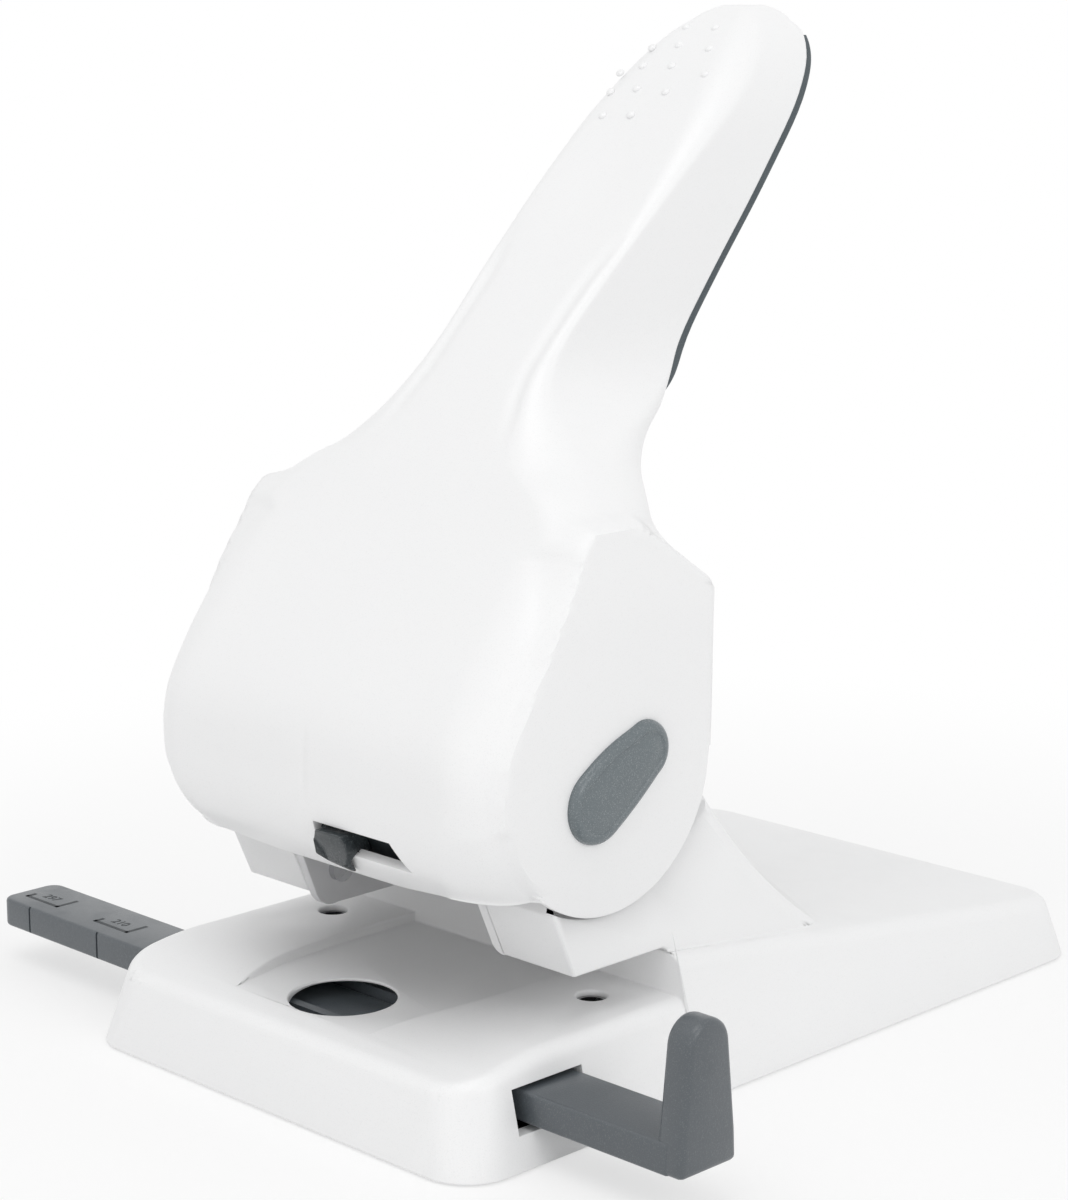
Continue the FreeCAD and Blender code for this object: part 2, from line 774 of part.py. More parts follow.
def lever_loft(side_inset, front_inset, rear_inset, top_share):
    """Level sections of the lever from its foot to a share of its rise, drawn in where it is hollow."""
    wires = []
    for up, front_share, rear_share, width_share, front_corner, across, along in LEVER_SECTION_SHARES:
        if up > top_share:
            break
        front, height = pivot_place(size("lever_back") * front_share, size("lever_rise") * up)
        rear = pivot_place(size("lever_back") * rear_share)[0] - rear_inset
        front = front + front_inset
        half = size("shell_side") * width_share - side_inset
        depth = rear - front
        front_round = min(size("shield_corner") * front_corner, min(half, depth / 2) * CORNER_LIMIT_SHARE)
        rear_across = min(size("shell_side") * across, half * CORNER_LIMIT_SHARE)
        rear_along = min(size("shell_side") * along, (depth - front_round) * CORNER_LIMIT_SHARE)
        wires.append(round_rectangle(half, front, rear, front_round, rear_across, rear_along, height))
    return Part.makeLoft(wires, True, True)


def lever_profile():
    """Side profile that trims the lever: its foot, the ears and the open space above them."""
    radius = size("ear_radius")
    far = size("lever_back") * TRIM_REACH_SHARE
    top = size("lever_rise") * TRIM_TOP_SHARE
    steps = [
        pivot_place(-size("lever_back") * TRIM_FOOT_SHARE, -size("shield_drop")),
        round_pivot(radius, size("foot_angle")),
        (round_pivot(radius, 300), round_pivot(radius, 360)),
        pivot_place(radius, size("ear_rise")),
        pivot_place(far, size("ear_rise")),
        pivot_place(far, top),
        pivot_place(-far, top),
    ]
    reach = size("ear_outer") + size("overrun")
    return prism(pivot_place(-far, -size("shield_drop")), steps, -reach, reach)


def ear_wire(inset, x_place):
    """Outline of an ear in a plane across the axle, drawn in by an inset."""
    radius = size("ear_radius") - inset
    top = size("ear_top") - inset
    steps = [
        (round_pivot(radius, 225), round_pivot(radius, 270)),
        (round_pivot(radius, 315), round_pivot(radius, 360)),
    ]
    steps += [pivot_place(radius * back, top * up) for back, up in EAR_OUTLINE_SHARES]
    wire = side_wire(round_pivot(radius, 180), steps)
    wire.translate(Vector(x_place, 0, 0))
    return wire


def ear_plates():
    """Raised round-footed panels on both sides of the shell, which turn on the axle."""
    outer = size("ear_outer")
    edge = size("ear_edge_round")
    wires = [ear_wire(0, size("shell_side_inner"))]
    wires += [ear_wire(edge * inset, outer - edge * depth) for depth, inset in EAR_EDGE_SHARES]
    return both_sides(Part.makeLoft(wires, True, True))


def rear_line(thickness):
    """Points up the back of the handle where the grip lies, drawn in by its thickness along Y."""
    low = size("grip_rise") / size("lever_rise")
    high = (size("grip_rise") + size("grip_length_up")) / size("lever_rise")
    table = [(row[0], row[2]) for row in LEVER_SECTION_SHARES]
    points = []
    for index in range(len(table) - 1):
        (up, back), (next_up, next_back) = table[index], table[index + 1]
        for stop in (low, high):
            if up < stop <= next_up:
                part = (stop - up) / (next_up - up)
                points.append((stop, back + part * (next_back - back)))
        if low < next_up < high:
            points.append((next_up, next_back))
    points.sort()
    return [pivot_place(size("lever_back") * back - thickness, size("lever_rise") * up)
            for up, back in points]


def grip_slab():
    """The slanting slice at the back of the handle that the grip fills."""
    line = rear_line(size("grip_thickness") * GRIP_SLICE_SHARE)
    far = size("lever_back") * TRIM_REACH_SHARE
    steps = line[1:] + [(far, line[-1][1]), (far, line[0][1])]
    return prism(line[0], steps, -size("shell_side"), size("shell_side"))


def lock_slot_prism():
    """The slot in the shield's foot, with its slanted right end."""
    left = size("lock_slot_left")
    right = size("lock_slot_right")
    low = size("lock_slot_low")
    high = size("lock_slot_high")
    front = -size("base_front")
    places = [(left, low), (right, low), (right - size("lock_slot_slant"), high), (left, high)]
    points = [Vector(across, front, up) for across, up in places + places[:1]]
    depth = size("base_front") - size("leg_front_top")
    return Part.Face(Part.makePolygon(points)).extrude(Vector(0, depth, 0))


def cross_bore(radius, half_length, back=0.0, up=0.0):
    """A cylinder along X, centred on the middle plane, placed from the pivot."""
    along, height = pivot_place(back, up)
    return Part.makeCylinder(radius, 2 * half_length, Vector(-half_length, along, height), Vector(1, 0, 0))


def handle_rod_half():
    """Half length of the rod whose ends are seated in the side walls of the handle."""
    return size("shell_side") * HANDLE_WIDTH_SHARE - size("rod_seat")


def build_lever_shell():
    """White lever: shield, shoulders and handle in one shell, with an ear on each side."""
    wall = size("shell_wall")
    side_wall = size("shell_side") - size("shell_side_inner")
    outer = lever_loft(0, 0, 0, 1)
    hollow = lever_loft(side_wall, wall * FRONT_INSET_SHARE, wall * REAR_INSET_SHARE, HOLLOW_TOP_SHARE)
    shell = outer.common(lever_profile())
    half = size("shell_side_inner")
    rear_open = box_between(
        Vector(-half, -size("pivot_ahead"), -size("overrun")),
        Vector(half, size("lever_back"), size("pivot_height") + size("ear_rise")),
    )
    leg_room = cross_bore(size("ear_radius") + size("leg_room"), half)
    shell = shell.cut(hollow).cut(rear_open).cut(leg_room).fuse(ear_plates()).cut(grip_slab())
    shell = shell.cut(lock_slot_prism())
    fit = size("running_fit")
    shell = shell.cut(cross_bore(size("axle_radius") + fit, size("ear_outer") * AXLE_BORE_SHARE))
    rod_room = cross_bore(size("handle_rod_radius") + fit, handle_rod_half() + size("pin_slip"),
                          size("handle_rod_back"), size("handle_rod_rise"))
    return keep_shape("lever_shell", shell.cut(rod_room))


def build_handle_grip():
    """Dark grip let into the back of the handle, from wall to wall."""
    grip = lever_loft(0, 0, 0, 1).common(grip_slab())
    return keep_shape("handle_grip", grip)


def build_pivot_caps():
    """Drop-shaped caps on the outer faces of the ears."""
    low_radius = size("cap_low_radius")
    high_radius = size("cap_high_radius")
    half = size("cap_length") / 2
    tilt = math.radians(size("cap_tilt"))
    centre = pivot_place(size("cap_back"), size("cap_lift"))
    low = (centre[0] - half * math.cos(tilt), centre[1] - half * math.sin(tilt))
    high = (centre[0] + half * math.cos(tilt), centre[1] + half * math.sin(tilt))
    lean = math.asin((low_radius - high_radius) / size("cap_length"))

    def rim(middle, radius, turn):
        return (middle[0] + radius * math.cos(turn), middle[1] + radius * math.sin(turn))

    above = tilt + math.pi / 2 - lean
    below = tilt - math.pi / 2 + lean
    steps = [
        (rim(low, low_radius, tilt + math.pi), rim(low, low_radius, below)),
        rim(high, high_radius, below),
        (rim(high, high_radius, tilt), rim(high, high_radius, above)),
    ]
    outer = size("ear_outer")
    cap = prism(rim(low, low_radius, above), steps, outer, outer + size("cap_thickness"))
    face_low = outer + size("cap_thickness") * CAP_FACE_SHARE
    edges = [edge for edge in cap.Edges if edge.BoundBox.XMin > face_low]
    cap = cap.makeFillet(size("cap_thickness") * CAP_ROUND_SHARE, edges)
    keep_shape("pivot_cap_right", cap)
    keep_shape("pivot_cap_left", cap.mirror(Vector(0, 0, 0), Vector(1, 0, 0)))


# Outline of a lever arm: points round the axle as shares of arm_boss, points round the drive rod as
# shares of its diameter, the arm's two waists (places from the drive rod as shares of its diameter,
# heights as shares of handle_rod_rise), and points round the handle's rod as shares of arm_end.
ARM_AXLE_SHARES = [(-1.0, -0.45), (-0.45, -1.0), (0.45, -1.0)]
ARM_CRANK_SHARES = [(0.4, -1.0), (1.0, -0.3), (1.0, 0.6)]
ARM_WAIST_SHARES = [(0.8, 0.5), (-2.2, 0.5)]
ARM_ROD_SHARES = [(1.0, -0.6), (1.0, 0.45), (0.45, 1.0), (-0.5, 1.0), (-1.5, -0.3)]
ARM_LAST_SHARES = (-1.05, 0.8)


def build_lever_arms():
    """Two steel arms inside the lever, from the axle to the rod under the handle."""
    crank_back, crank_up = crank_place()
    boss = size("arm_boss")
    end = size("arm_end")
    back = size("handle_rod_back")
    rise = size("handle_rod_rise")
    crank_end = size("drive_rod_radius") * 2
    front_waist, rear_waist = [(crank_back + crank_end * along, rise * up)
                               for along, up in ARM_WAIST_SHARES]
    last_back, last_up = ARM_LAST_SHARES
    outline = [(boss * along, boss * up) for along, up in ARM_AXLE_SHARES]
    outline += [(crank_back + crank_end * along, crank_up + crank_end * up)
                for along, up in ARM_CRANK_SHARES]
    outline.append(front_waist)
    outline += [(back + end * along, rise + end * up) for along, up in ARM_ROD_SHARES]
    outline.append(rear_waist)
    outline.append((boss * last_back, boss * last_up))
    points = [pivot_place(*place) for place in outline]
    inner = size("arm_inner")
    plate = prism(points[0], points[1:], inner, inner + size("arm_thickness"))
    fit = size("running_fit")
    plate = plate.cut(cross_bore(size("axle_radius") + fit, size("leg_inner")))
    plate = plate.cut(cross_bore(size("drive_rod_radius") + fit, size("leg_inner"), crank_back, crank_up))
    plate = plate.cut(cross_bore(size("handle_rod_radius") + fit, size("leg_inner"), back, rise))
    keep_shape("lever_arm_right", plate)
    keep_shape("lever_arm_left", plate.mirror(Vector(0, 0, 0), Vector(1, 0, 0)))


def crank_place():
    """Where the drive rod sits, from the pivot, with the lever up."""
    half_swing = math.radians(size("lever_swing") / 2)
    radius = size("punch_travel") / (2 * math.sin(half_swing))
    rise = math.radians(size("crank_rise"))
    return radius * math.cos(rise), radius * math.sin(rise)


# Outline of a side plate: the middle and the end of its rounded foot and the two points over the
# leg's slant as shares of the foot's height, and points round the axle as shares of arm_boss.
PLATE_FOOT_SHARES = [(0.5, 0.3), (1.9, 0.0)]
PLATE_FRONT_SHARES = (0.4, 0.2)
PLATE_AXLE_SHARES = [(1.1, -0.5), (1.1, 0.5), (0.5, 1.1), (-0.5, 1.1), (-1.1, 0.5)]


def build_side_plates():
    """Dark steel plates on the inner faces of the legs, which carry the axle and guide the beam."""
    foot = size("side_plate_foot")
    roof = size("throat_roof")
    throat = size("throat_depth")
    front = -size("leg_front")
    front_top = -size("leg_front_top")
    slant = size("leg_slant_top")
    boss = size("arm_boss")
    pivot_y, pivot_z = pivot_place()
    rear = throat - size("side_gap")
    foot_round = roof - foot
    upper, lower = PLATE_FRONT_SHARES
    foot_curve = tuple((front + foot_round * along, foot + foot_round * up)
                       for along, up in PLATE_FOOT_SHARES)
    steps = [foot_curve, (rear, foot), (rear, size("beam_low") + size("beam_height"))]
    steps += [(pivot_y + boss * along, pivot_z + boss * up) for along, up in PLATE_AXLE_SHARES]
    steps += [(front_top + foot_round * upper, slant + boss), (front_top + foot_round * lower, slant)]
    outer = size("leg_inner") - size("yoke_slack") / 2
    plate = prism((front, roof), steps, outer - size("side_plate_thickness"), outer)
    gap = size("guide_clearance")
    slot = box_between(
        Vector(0, -size("beam_front") - gap, size("leg_floor") + gap),
        Vector(size("leg_outer"), size("beam_rear") + gap, size("beam_low") + size("beam_height") + gap),
    )
    plate = plate.cut(slot).cut(cross_bore(size("axle_radius") + size("running_fit"), size("leg_outer")))
    for side, along, height in frame_screw_places():
        plate = plate.cut(Part.makeCylinder(size("screw_radius") + size("running_fit"), size("leg_outer"),
                                            Vector(0, along, height), Vector(1, 0, 0)))
    keep_shape("side_plate_right", plate)
    keep_shape("side_plate_left", plate.mirror(Vector(0, 0, 0), Vector(1, 0, 0)))


def build_axle_clips():
    """Four spring rings: two beside the side plates and two inside the ears."""
    plate_inner = size("leg_inner") - size("yoke_slack") / 2 - size("side_plate_thickness")
    thick = size("clip_thickness")
    rings = []
    for inner in (plate_inner - thick, size("shell_side_inner") - size("side_gap") - thick):
        along, height = pivot_place()
        place = Vector(inner, along, height)
        ring = Part.makeCylinder(size("clip_radius"), thick, place, Vector(1, 0, 0))
        bore = size("axle_radius") + size("running_fit")
        ring = ring.cut(Part.makeCylinder(bore, thick, place, Vector(1, 0, 0)))
        rings.append(both_sides(ring))
    keep_shape("axle_clips", rings[0].fuse(rings[1]))


# Wall of the yoke round its slot, as a share of drive_rod_radius.
YOKE_CHEEK_SHARE = 0.6


def build_press_beam():
    """Cross beam that pushes both punches, with the yoke that the drive rod works in."""
    low = size("beam_low")
    top = low + size("beam_height")
    half = size("beam_half_length")
    beam = box_between(Vector(-half, -size("beam_front"), low), Vector(half, size("beam_rear"), top))
    x_hole = size("hole_pitch") / 2
    for x_place in (-x_hole, x_hole):
        beam = beam.cut(Part.makeCylinder(size("pin_radius") + size("running_fit"), size("beam_height"),
                                          Vector(x_place, 0, low)))
        room = size("spring_radius") + size("spring_wire") / 2 + size("spring_room")
        beam = beam.cut(Part.makeCylinder(room, size("spring_pocket"), Vector(x_place, 0, low)))
    crank_back, crank_up = crank_place()
    along, height = pivot_place(crank_back, crank_up)
    room = size("drive_rod_radius") + size("yoke_slack")
    crank_reach = math.hypot(crank_back, crank_up)
    cheek = size("drive_rod_radius") * YOKE_CHEEK_SHARE
    inner = size("yoke_inner")
    yoke = box_between(
        Vector(inner, along - room - cheek, low),
        Vector(inner + size("yoke_thickness"), along - crank_back + crank_reach + room + cheek,
               height + room + cheek),
    )
    slot = box_between(
        Vector(0, along - room, height - room),
        Vector(size("arm_inner"), along - crank_back + crank_reach + room, height + room),
    )
    return keep_shape("press_beam", beam.fuse(both_sides(yoke.cut(slot))))


def build_punch_pin(label, side):
    """Round punch with a head that rests on the beam."""
    pin = doc.addObject("Part::Cylinder", f"{label}_shank")
    pin.setExpression("Radius", "Sizes.pin_radius")
    pin.setExpression("Height", "Sizes.beam_low + Sizes.beam_height - Sizes.pin_tip")
    head = doc.addObject("Part::Cylinder", f"{label}_head")
    head.setExpression("Radius", "Sizes.pin_head_radius")
    head.setExpression("Height", "Sizes.pin_head_height")
    head.setExpression(".Placement.Base.z", "Sizes.beam_low + Sizes.beam_height - Sizes.pin_tip")
    whole = doc.addObject("Part::Fuse", label)
    whole.Base = pin
    whole.Tool = head
    whole.setExpression(".Placement.Base.x", f"{side} * Sizes.hole_pitch / 2")
    whole.setExpression(".Placement.Base.z", "Sizes.pin_tip")
    return keep(whole, label)


def tube(label, side, outer, inner, low, height):
    """An upright tube on one hole centre, its sizes formulas over the sheet."""
    parts = []
    for role, radius in (("outside", outer), ("bore", inner)):
        cylinder = doc.addObject("Part::Cylinder", f"{label}_{role}")
        cylinder.setExpression("Radius", radius)
        cylinder.setExpression("Height", height)
        parts.append(cylinder)
    whole = doc.addObject("Part::Cut", label)
    whole.Base, whole.Tool = parts
    whole.setExpression(".Placement.Base.x", f"{side} * Sizes.hole_pitch / 2")
    whole.setExpression(".Placement.Base.z", low)
    return keep(whole, label)


def build_die(label, side):
    """Square hardened die under one hole of the table."""
    block = doc.addObject("Part::Box", f"{label}_block")
    block.setExpression("Length", "2 * Sizes.die_half_side")
    block.setExpression("Width", "2 * Sizes.die_half_side")
    block.setExpression("Height", "Sizes.die_height")
    block.setExpression(".Placement.Base.x", "-Sizes.die_half_side")
    block.setExpression(".Placement.Base.y", "-Sizes.die_half_side")
    bore = doc.addObject("Part::Cylinder", f"{label}_bore")
    bore.setExpression("Radius", "Sizes.pin_radius + 2 * Sizes.pin_slip")
    bore.setExpression("Height", "Sizes.die_height")
    whole = doc.addObject("Part::Cut", label)
    whole.Base = block
    whole.Tool = bore
    whole.setExpression(".Placement.Base.x", f"{side} * Sizes.hole_pitch / 2")
    whole.setExpression(".Placement.Base.z", "Sizes.die_top - Sizes.die_height")
    return keep(whole, label)


# How far the catch plate stands ahead of the legs, as a share of its thickness.
CATCH_FRONT_SHARE = 0.35
# Outline of the strip and its ledge round the pivot: radii as shares of catch_thickness from
# catch_reach, angles as shares of catch_span from catch_angle.
CATCH_STRIP_SHARES = [
    (-2.85, 5.0),
    (-2.65, 1.5),
    (-1.95, 0.0),
    (0.0, 0.0),
    (0.0, 1.0),
    (-1.35, 1.05),
    (-1.55, 4.4),
]


def build_catch_plate():
    """Steel plate across the side plates, with the strip and ledge that the lock hooks on."""
    gap = size("side_gap") / 2
    half = size("leg_inner") - size("yoke_slack") / 2 - size("side_plate_thickness") - gap
    thick = size("catch_thickness")
    front = -size("leg_front") - thick * CATCH_FRONT_SHARE
    rear = front + thick
    low = size("catch_low")
    high = size("catch_high")
    cross = box_between(Vector(-half, front, low), Vector(half, rear, high))
    reach = size("catch_reach")
    angle = size("catch_angle")
    span = size("catch_span")
    steps = [(rear, high)]
    steps += [round_pivot(reach + thick * out, angle + span * turn) for out, turn in CATCH_STRIP_SHARES]
    left = size("catch_left")
    strip = prism((front, high - thick), steps, left, left + size("catch_width"))
    return keep_shape("catch_plate", cross.fuse(strip))


def lock_plane():
    """Two points of the slide plate's outer face, 1 above the other, inside the shield's wall."""
    wall = size("shell_wall") * FRONT_INSET_SHARE + size("lock_plate_gap")
    rise_shares = (-0.1351, -0.0811)
    front_shares = (-0.3025, -0.3385)
    return [pivot_place(size("lever_back") * front + wall, size("lever_rise") * up)
            for up, front in zip(rise_shares, front_shares)]


def on_lock_plane(height):
    (y_low, z_low), (y_high, z_high) = lock_plane()
    return y_low + (height - z_low) / (z_high - z_low) * (y_high - y_low)


# How far the slide plate covers the slot at each end, as a share of side_gap.
LOCK_COVER_SHARE = 3
# Reach of the knob's face at its top edge and at its lower tip, as shares of lock_knob_reach.
KNOB_REACH_SHARES = (0.7, 0.5)


def build_lock():
    """Sliding lock: plate and hook inside the shield, stem through the slot, finger knob outside."""
    low_point, high_point = (Vector(0, *place) for place in lock_plane())
    along = (high_point - low_point).normalize()
    inward = Vector(0, along.z, -along.y)
    thick = size("slide_plate_thickness")
    back_low = low_point + inward * thick
    back_high = high_point + inward * thick
    cover = size("side_gap") * LOCK_COVER_SHARE
    plate = prism(
        (low_point.y, low_point.z),
        [(high_point.y, high_point.z), (back_high.y, back_high.z), (back_low.y, back_low.z)],
        size("lock_slot_left") - size("lock_travel") - cover, size("lock_slot_right") + cover,
    )
    slot_middle = (size("lock_slot_low") + size("lock_slot_high")) / 2
    stem_left = size("lock_slot_left") + size("lock_slip")
    stem_right = size("lock_slot_left") + size("lock_knob_width")
    tongue_left = (stem_left + stem_right - size("tongue_width")) / 2
    pivot_y, pivot_z = pivot_place()
    facing = Vector(0, on_lock_plane(slot_middle) - pivot_y, slot_middle - pivot_z)
    plate_reach = facing.Length
    facing.normalize()
    across = Vector(0, -facing.z, facing.y) * (size("tongue_thickness") / 2)
    root = facing * (plate_reach - thick / 2)
    tip = facing * size("tongue_tip_radius")
    places = [tip + across, root + across, root - across, tip - across]
    points = [pivot_place(place.y, place.z) for place in places]
    tongue = prism(points[0], points[1:], tongue_left, tongue_left + size("tongue_width"))
    keep_shape("lock_tongue", plate.fuse(tongue))

    slip = size("lock_slip")
    low = size("lock_slot_low") + slip
    high = size("lock_slot_high") - slip
    deep = size("shell_wall") / 2
    stem = prism(
        (shield_face(low) + deep, low),
        [(on_lock_plane(low), low), (on_lock_plane(high), high), (shield_face(high) + deep, high)],
        stem_left, stem_right,
    )
    drop = size("lock_knob_drop")
    wide = stem_right - stem_left
    front = -size("base_front")
    outline = [Vector(stem_left + wide * right, front, high - drop * down)
               for right, down in KNOB_OUTLINE_SHARES]
    block = Part.Face(Part.makePolygon(outline + outline[:1])).extrude(Vector(0, size("base_front"), 0))
    reach = size("lock_knob_reach")
    top_share, tip_share = KNOB_REACH_SHARES
    tip = high - drop
    middle = (low + tip) / 2
    steps = [
        (shield_face(high) - reach * top_share, high),
        (shield_face(low) - reach, (high + low) / 2),
        (shield_face(middle) - reach, middle),
        (shield_face(tip) - reach * tip_share, tip),
        (shield_face(tip) - slip, tip),
        (shield_face(middle) - slip * 2, middle),
        (shield_face(low) - slip * 2, low),
        (shield_face(low) + deep, low),
    ]
    side = prism((shield_face(high) + deep, high), steps, stem_left - wide, stem_right + wide)
    keep_shape("lock_knob", block.common(side).fuse(stem))


def shield_face(height):
    """Y of the shield's front face at a height near its foot."""
    table = [(size("lever_rise") * row[0] + size("pivot_height"), row[1]) for row in LEVER_SECTION_SHARES]
    for (low, low_share), (high, high_share) in zip(table, table[1:]):
        if low <= height <= high:
            share = low_share + (height - low) / (high - low) * (high_share - low_share)
            return size("lever_back") * share - size("pivot_ahead")
    return size("lever_back") * table[0][1] - size("pivot_ahead")


# Rounding of the guide bar's free end, as a share of guide_width.
GUIDE_END_SHARE = 0.3


def build_paper_guide():
    """Long flat bar with a rounded free end and an upright stop at the other end."""
    front = -size("guide_front")
    rear = front + size("guide_width")
    low = size("guide_low")
    inner = size("stop_inner")
    outer = inner + size("stop_thickness")
    high = low + size("guide_height")
    bar = box_between(Vector(-size("guide_left"), front, low), Vector(outer, rear, high))
    round_end = [edge for edge in bar.Edges
                 if edge.BoundBox.XMax < -inner and edge.BoundBox.YLength < size("detent_thickness")
                 and edge.BoundBox.ZLength > size("guide_height") / 2]
    bar = bar.makeFillet(size("guide_width") * GUIDE_END_SHARE, round_end)
    top = low + size("stop_height")
    middle = (front + rear) / 2
    round_radius = size("stop_round")
    shoulder = top - round_radius
    steps = [
        (rear, low),
        (rear, high),
        (middle + round_radius, shoulder),
        ((middle, top), (middle - round_radius, shoulder)),
        (front, high),
    ]
    stop = prism((front, low), steps, inner, outer)
    return keep_shape("paper_guide", bar.fuse(stop))


# Room under the bar as a share of detent_thickness, and the keeper's floor and the height of its
# walls over the bar as shares of keeper_wall.
KEEPER_ROOM_SHARE = 5
KEEPER_FLOOR_SHARE = 0.64
KEEPER_TOP_SHARE = 0.9
# The leaf's half length as a share of keeper_half_length, its half width as a share of
# guide_width, and how far its ends taper as a share of its thickness.
DETENT_LENGTH_SHARE = 0.4
DETENT_WIDTH_SHARE = 0.25
DETENT_TAPER_SHARE = 3


def build_guide_keeper():
    """Channel under the table that the guide bar slides in."""
    half = size("keeper_half_length")
    wall = size("keeper_wall")
    gap = size("guide_clearance")
    front = -size("guide_front") - gap
    rear = -size("guide_front") + size("guide_width") + gap
    floor_top = size("guide_low") - size("detent_thickness") * KEEPER_ROOM_SHARE
    floor_low = floor_top - wall * KEEPER_FLOOR_SHARE
    top = size("guide_low") + size("guide_height") + wall * KEEPER_TOP_SHARE
    outside = box_between(Vector(-half, front - wall, floor_low), Vector(half, rear + wall, top))
    inside = box_between(Vector(-half, front, floor_top), Vector(half, rear, top))
    return keep_shape("guide_keeper", outside.cut(inside))


def build_detent_spring():
    """Thin bowed leaf on the keeper's floor that holds the bar where it is set."""
    floor_top = size("guide_low") - size("detent_thickness") * KEEPER_ROOM_SHARE
    thick = size("detent_thickness")
    half = size("keeper_half_length") * DETENT_LENGTH_SHARE
    bow = size("guide_low") - size("side_gap") - floor_top
    middle = size("guide_width") / 2 - size("guide_front")
    width = size("guide_width") * DETENT_WIDTH_SHARE
    taper = Vector(thick * DETENT_TAPER_SHARE, 0, 0)
    start = Vector(-half, middle - width, floor_top)
    end = Vector(half, middle - width, floor_top)
    upper = Vector(0, middle - width, floor_top + bow)
    lower = Vector(0, middle - width, floor_top + bow - thick)
    inner_end = end - taper
    inner_start = start + taper
    wire = Part.Wire([
        Part.Arc(start, upper, end).toShape(),
        Part.LineSegment(end, inner_end).toShape(),
        Part.Arc(inner_end, lower, inner_start).toShape(),
        Part.LineSegment(inner_start, start).toShape(),
    ])
    return keep_shape("guide_detent_spring", Part.Face(wire).extrude(Vector(0, 2 * width, 0)))


# Height of a hinge lug over the pin as a share of door_lug, drop of the door under the plate as a
# share of door_thickness, and radius of its knuckles as a share of door_pin_radius.
LUG_TOP_SHARE = 0.8
DOOR_DROP_SHARE = 0.39
DOOR_KNUCKLE_SHARE = 1.5


def door_opening(low, high, room):
    """The opening for the chip door through the pad and the plate."""
    half = size("door_half_width") + room
    hinge_y = size("door_rear") - size("door_pin_inset")
    return box_between(Vector(-half, -size("door_front") - room, low),
                       Vector(half, hinge_y + size("hinge_room"), high))


def build_underside():
    """Base plate inside the housing's rim, the pad that the punch stands on, and their screws."""
    pad_top = size("pad_thickness")
    top = plate_top()
    inset = size("wall") + size("plate_inset")
    plate = base_block(inset, pad_top, top)
    plate = plate.cut(door_opening(0, top, size("door_gap")))
    hinge_y = size("door_rear") - size("door_pin_inset")
    hinge_z = size("door_pin_height")
    lug = size("door_lug")
    inner = size("door_half_width") + size("door_gap")
    lug_block = box_between(Vector(inner, hinge_y - lug, pad_top),
                            Vector(inner + lug, hinge_y + lug, hinge_z + lug * LUG_TOP_SHARE))
    plate = plate.fuse(both_sides(lug_block))
    pin_bore = Part.makeCylinder(size("door_pin_radius") + size("running_fit"), 2 * (inner + lug),
                                 Vector(-inner - lug, hinge_y, hinge_z), Vector(1, 0, 0))
    plate = plate.cut(pin_bore)
    pad = base_block(inset, 0, pad_top).cut(door_opening(0, pad_top, size("door_gap")))
    screws = []
    shank = top - pad_top + size("screw_length") * SCREW_REACH_SHARE
    head = size("screw_head_radius")
    head_height = size("screw_head_height") / 2
    for across, along in post_places():
        head_place = Vector(across, along, pad_top - head_height)
        screw = Part.makeCylinder(size("screw_radius"), shank, Vector(across, along, pad_top))
        screw = screw.fuse(Part.makeCylinder(head, head_height, head_place))
        screws.append(screw)
        hole = Part.makeCylinder(size("screw_radius") + size("running_fit"), top, Vector(across, along, 0))
        plate = plate.cut(hole)
        pad = pad.cut(Part.makeCylinder(head + size("side_gap"), pad_top, Vector(across, along, 0)))
    keep_shape("base_plate", plate)
    keep_shape("base_pad", pad)
    keep_shape("base_plate_screws", joined(screws))


def build_chip_door():
    """Door under the chip chamber, with a stub pin at each rear corner."""
    half = size("door_half_width")
    low = size("pad_thickness") - size("door_thickness") * DOOR_DROP_SHARE
    rear = size("door_rear")
    front = -size("door_front")
    panel = box_between(Vector(-half, front, low), Vector(half, rear, low + size("door_thickness")))
    hinge_y = rear - size("door_pin_inset")
    hinge_z = size("door_pin_height")
    barrel = size("door_pin_radius") * DOOR_KNUCKLE_SHARE
    block = size("door_lug") * 2
    knuckle = Part.makeCylinder(barrel, block, Vector(half - block, hinge_y, hinge_z), Vector(1, 0, 0))
    pin = Part.makeCylinder(size("door_pin_radius"), block + size("door_lug"),
                            Vector(half - block, hinge_y, hinge_z), Vector(1, 0, 0))
    finger = box_between(Vector(-block * 2, front, low + size("door_thickness")),
                         Vector(block * 2, front + size("door_thickness"), low + size("door_thickness") * 2))
    return keep_shape("chip_door", panel.fuse(both_sides(knuckle.fuse(pin))).fuse(finger))


def build_frame_screws():
    """Four screws that hold the side plates to the legs, heads towards the middle."""
    plate_inner = size("leg_inner") - size("yoke_slack") / 2 - size("side_plate_thickness")
    head = size("screw_head_height")
    shank = (size("side_plate_thickness") + size("yoke_slack") / 2
             + size("screw_length") * SCREW_REACH_SHARE)
    screws = []
    for side, along, height in frame_screw_places():
        outward = Vector(side, 0, 0)
        head_start = Vector(side * (plate_inner - head), along, height)
        shank_start = Vector(side * plate_inner, along, height)
        screws.append(Part.makeCylinder(size("screw_head_radius"), head, head_start, outward))
        screws.append(Part.makeCylinder(size("screw_radius"), shank, shank_start, outward))
    return keep_shape("frame_screws", joined(screws))


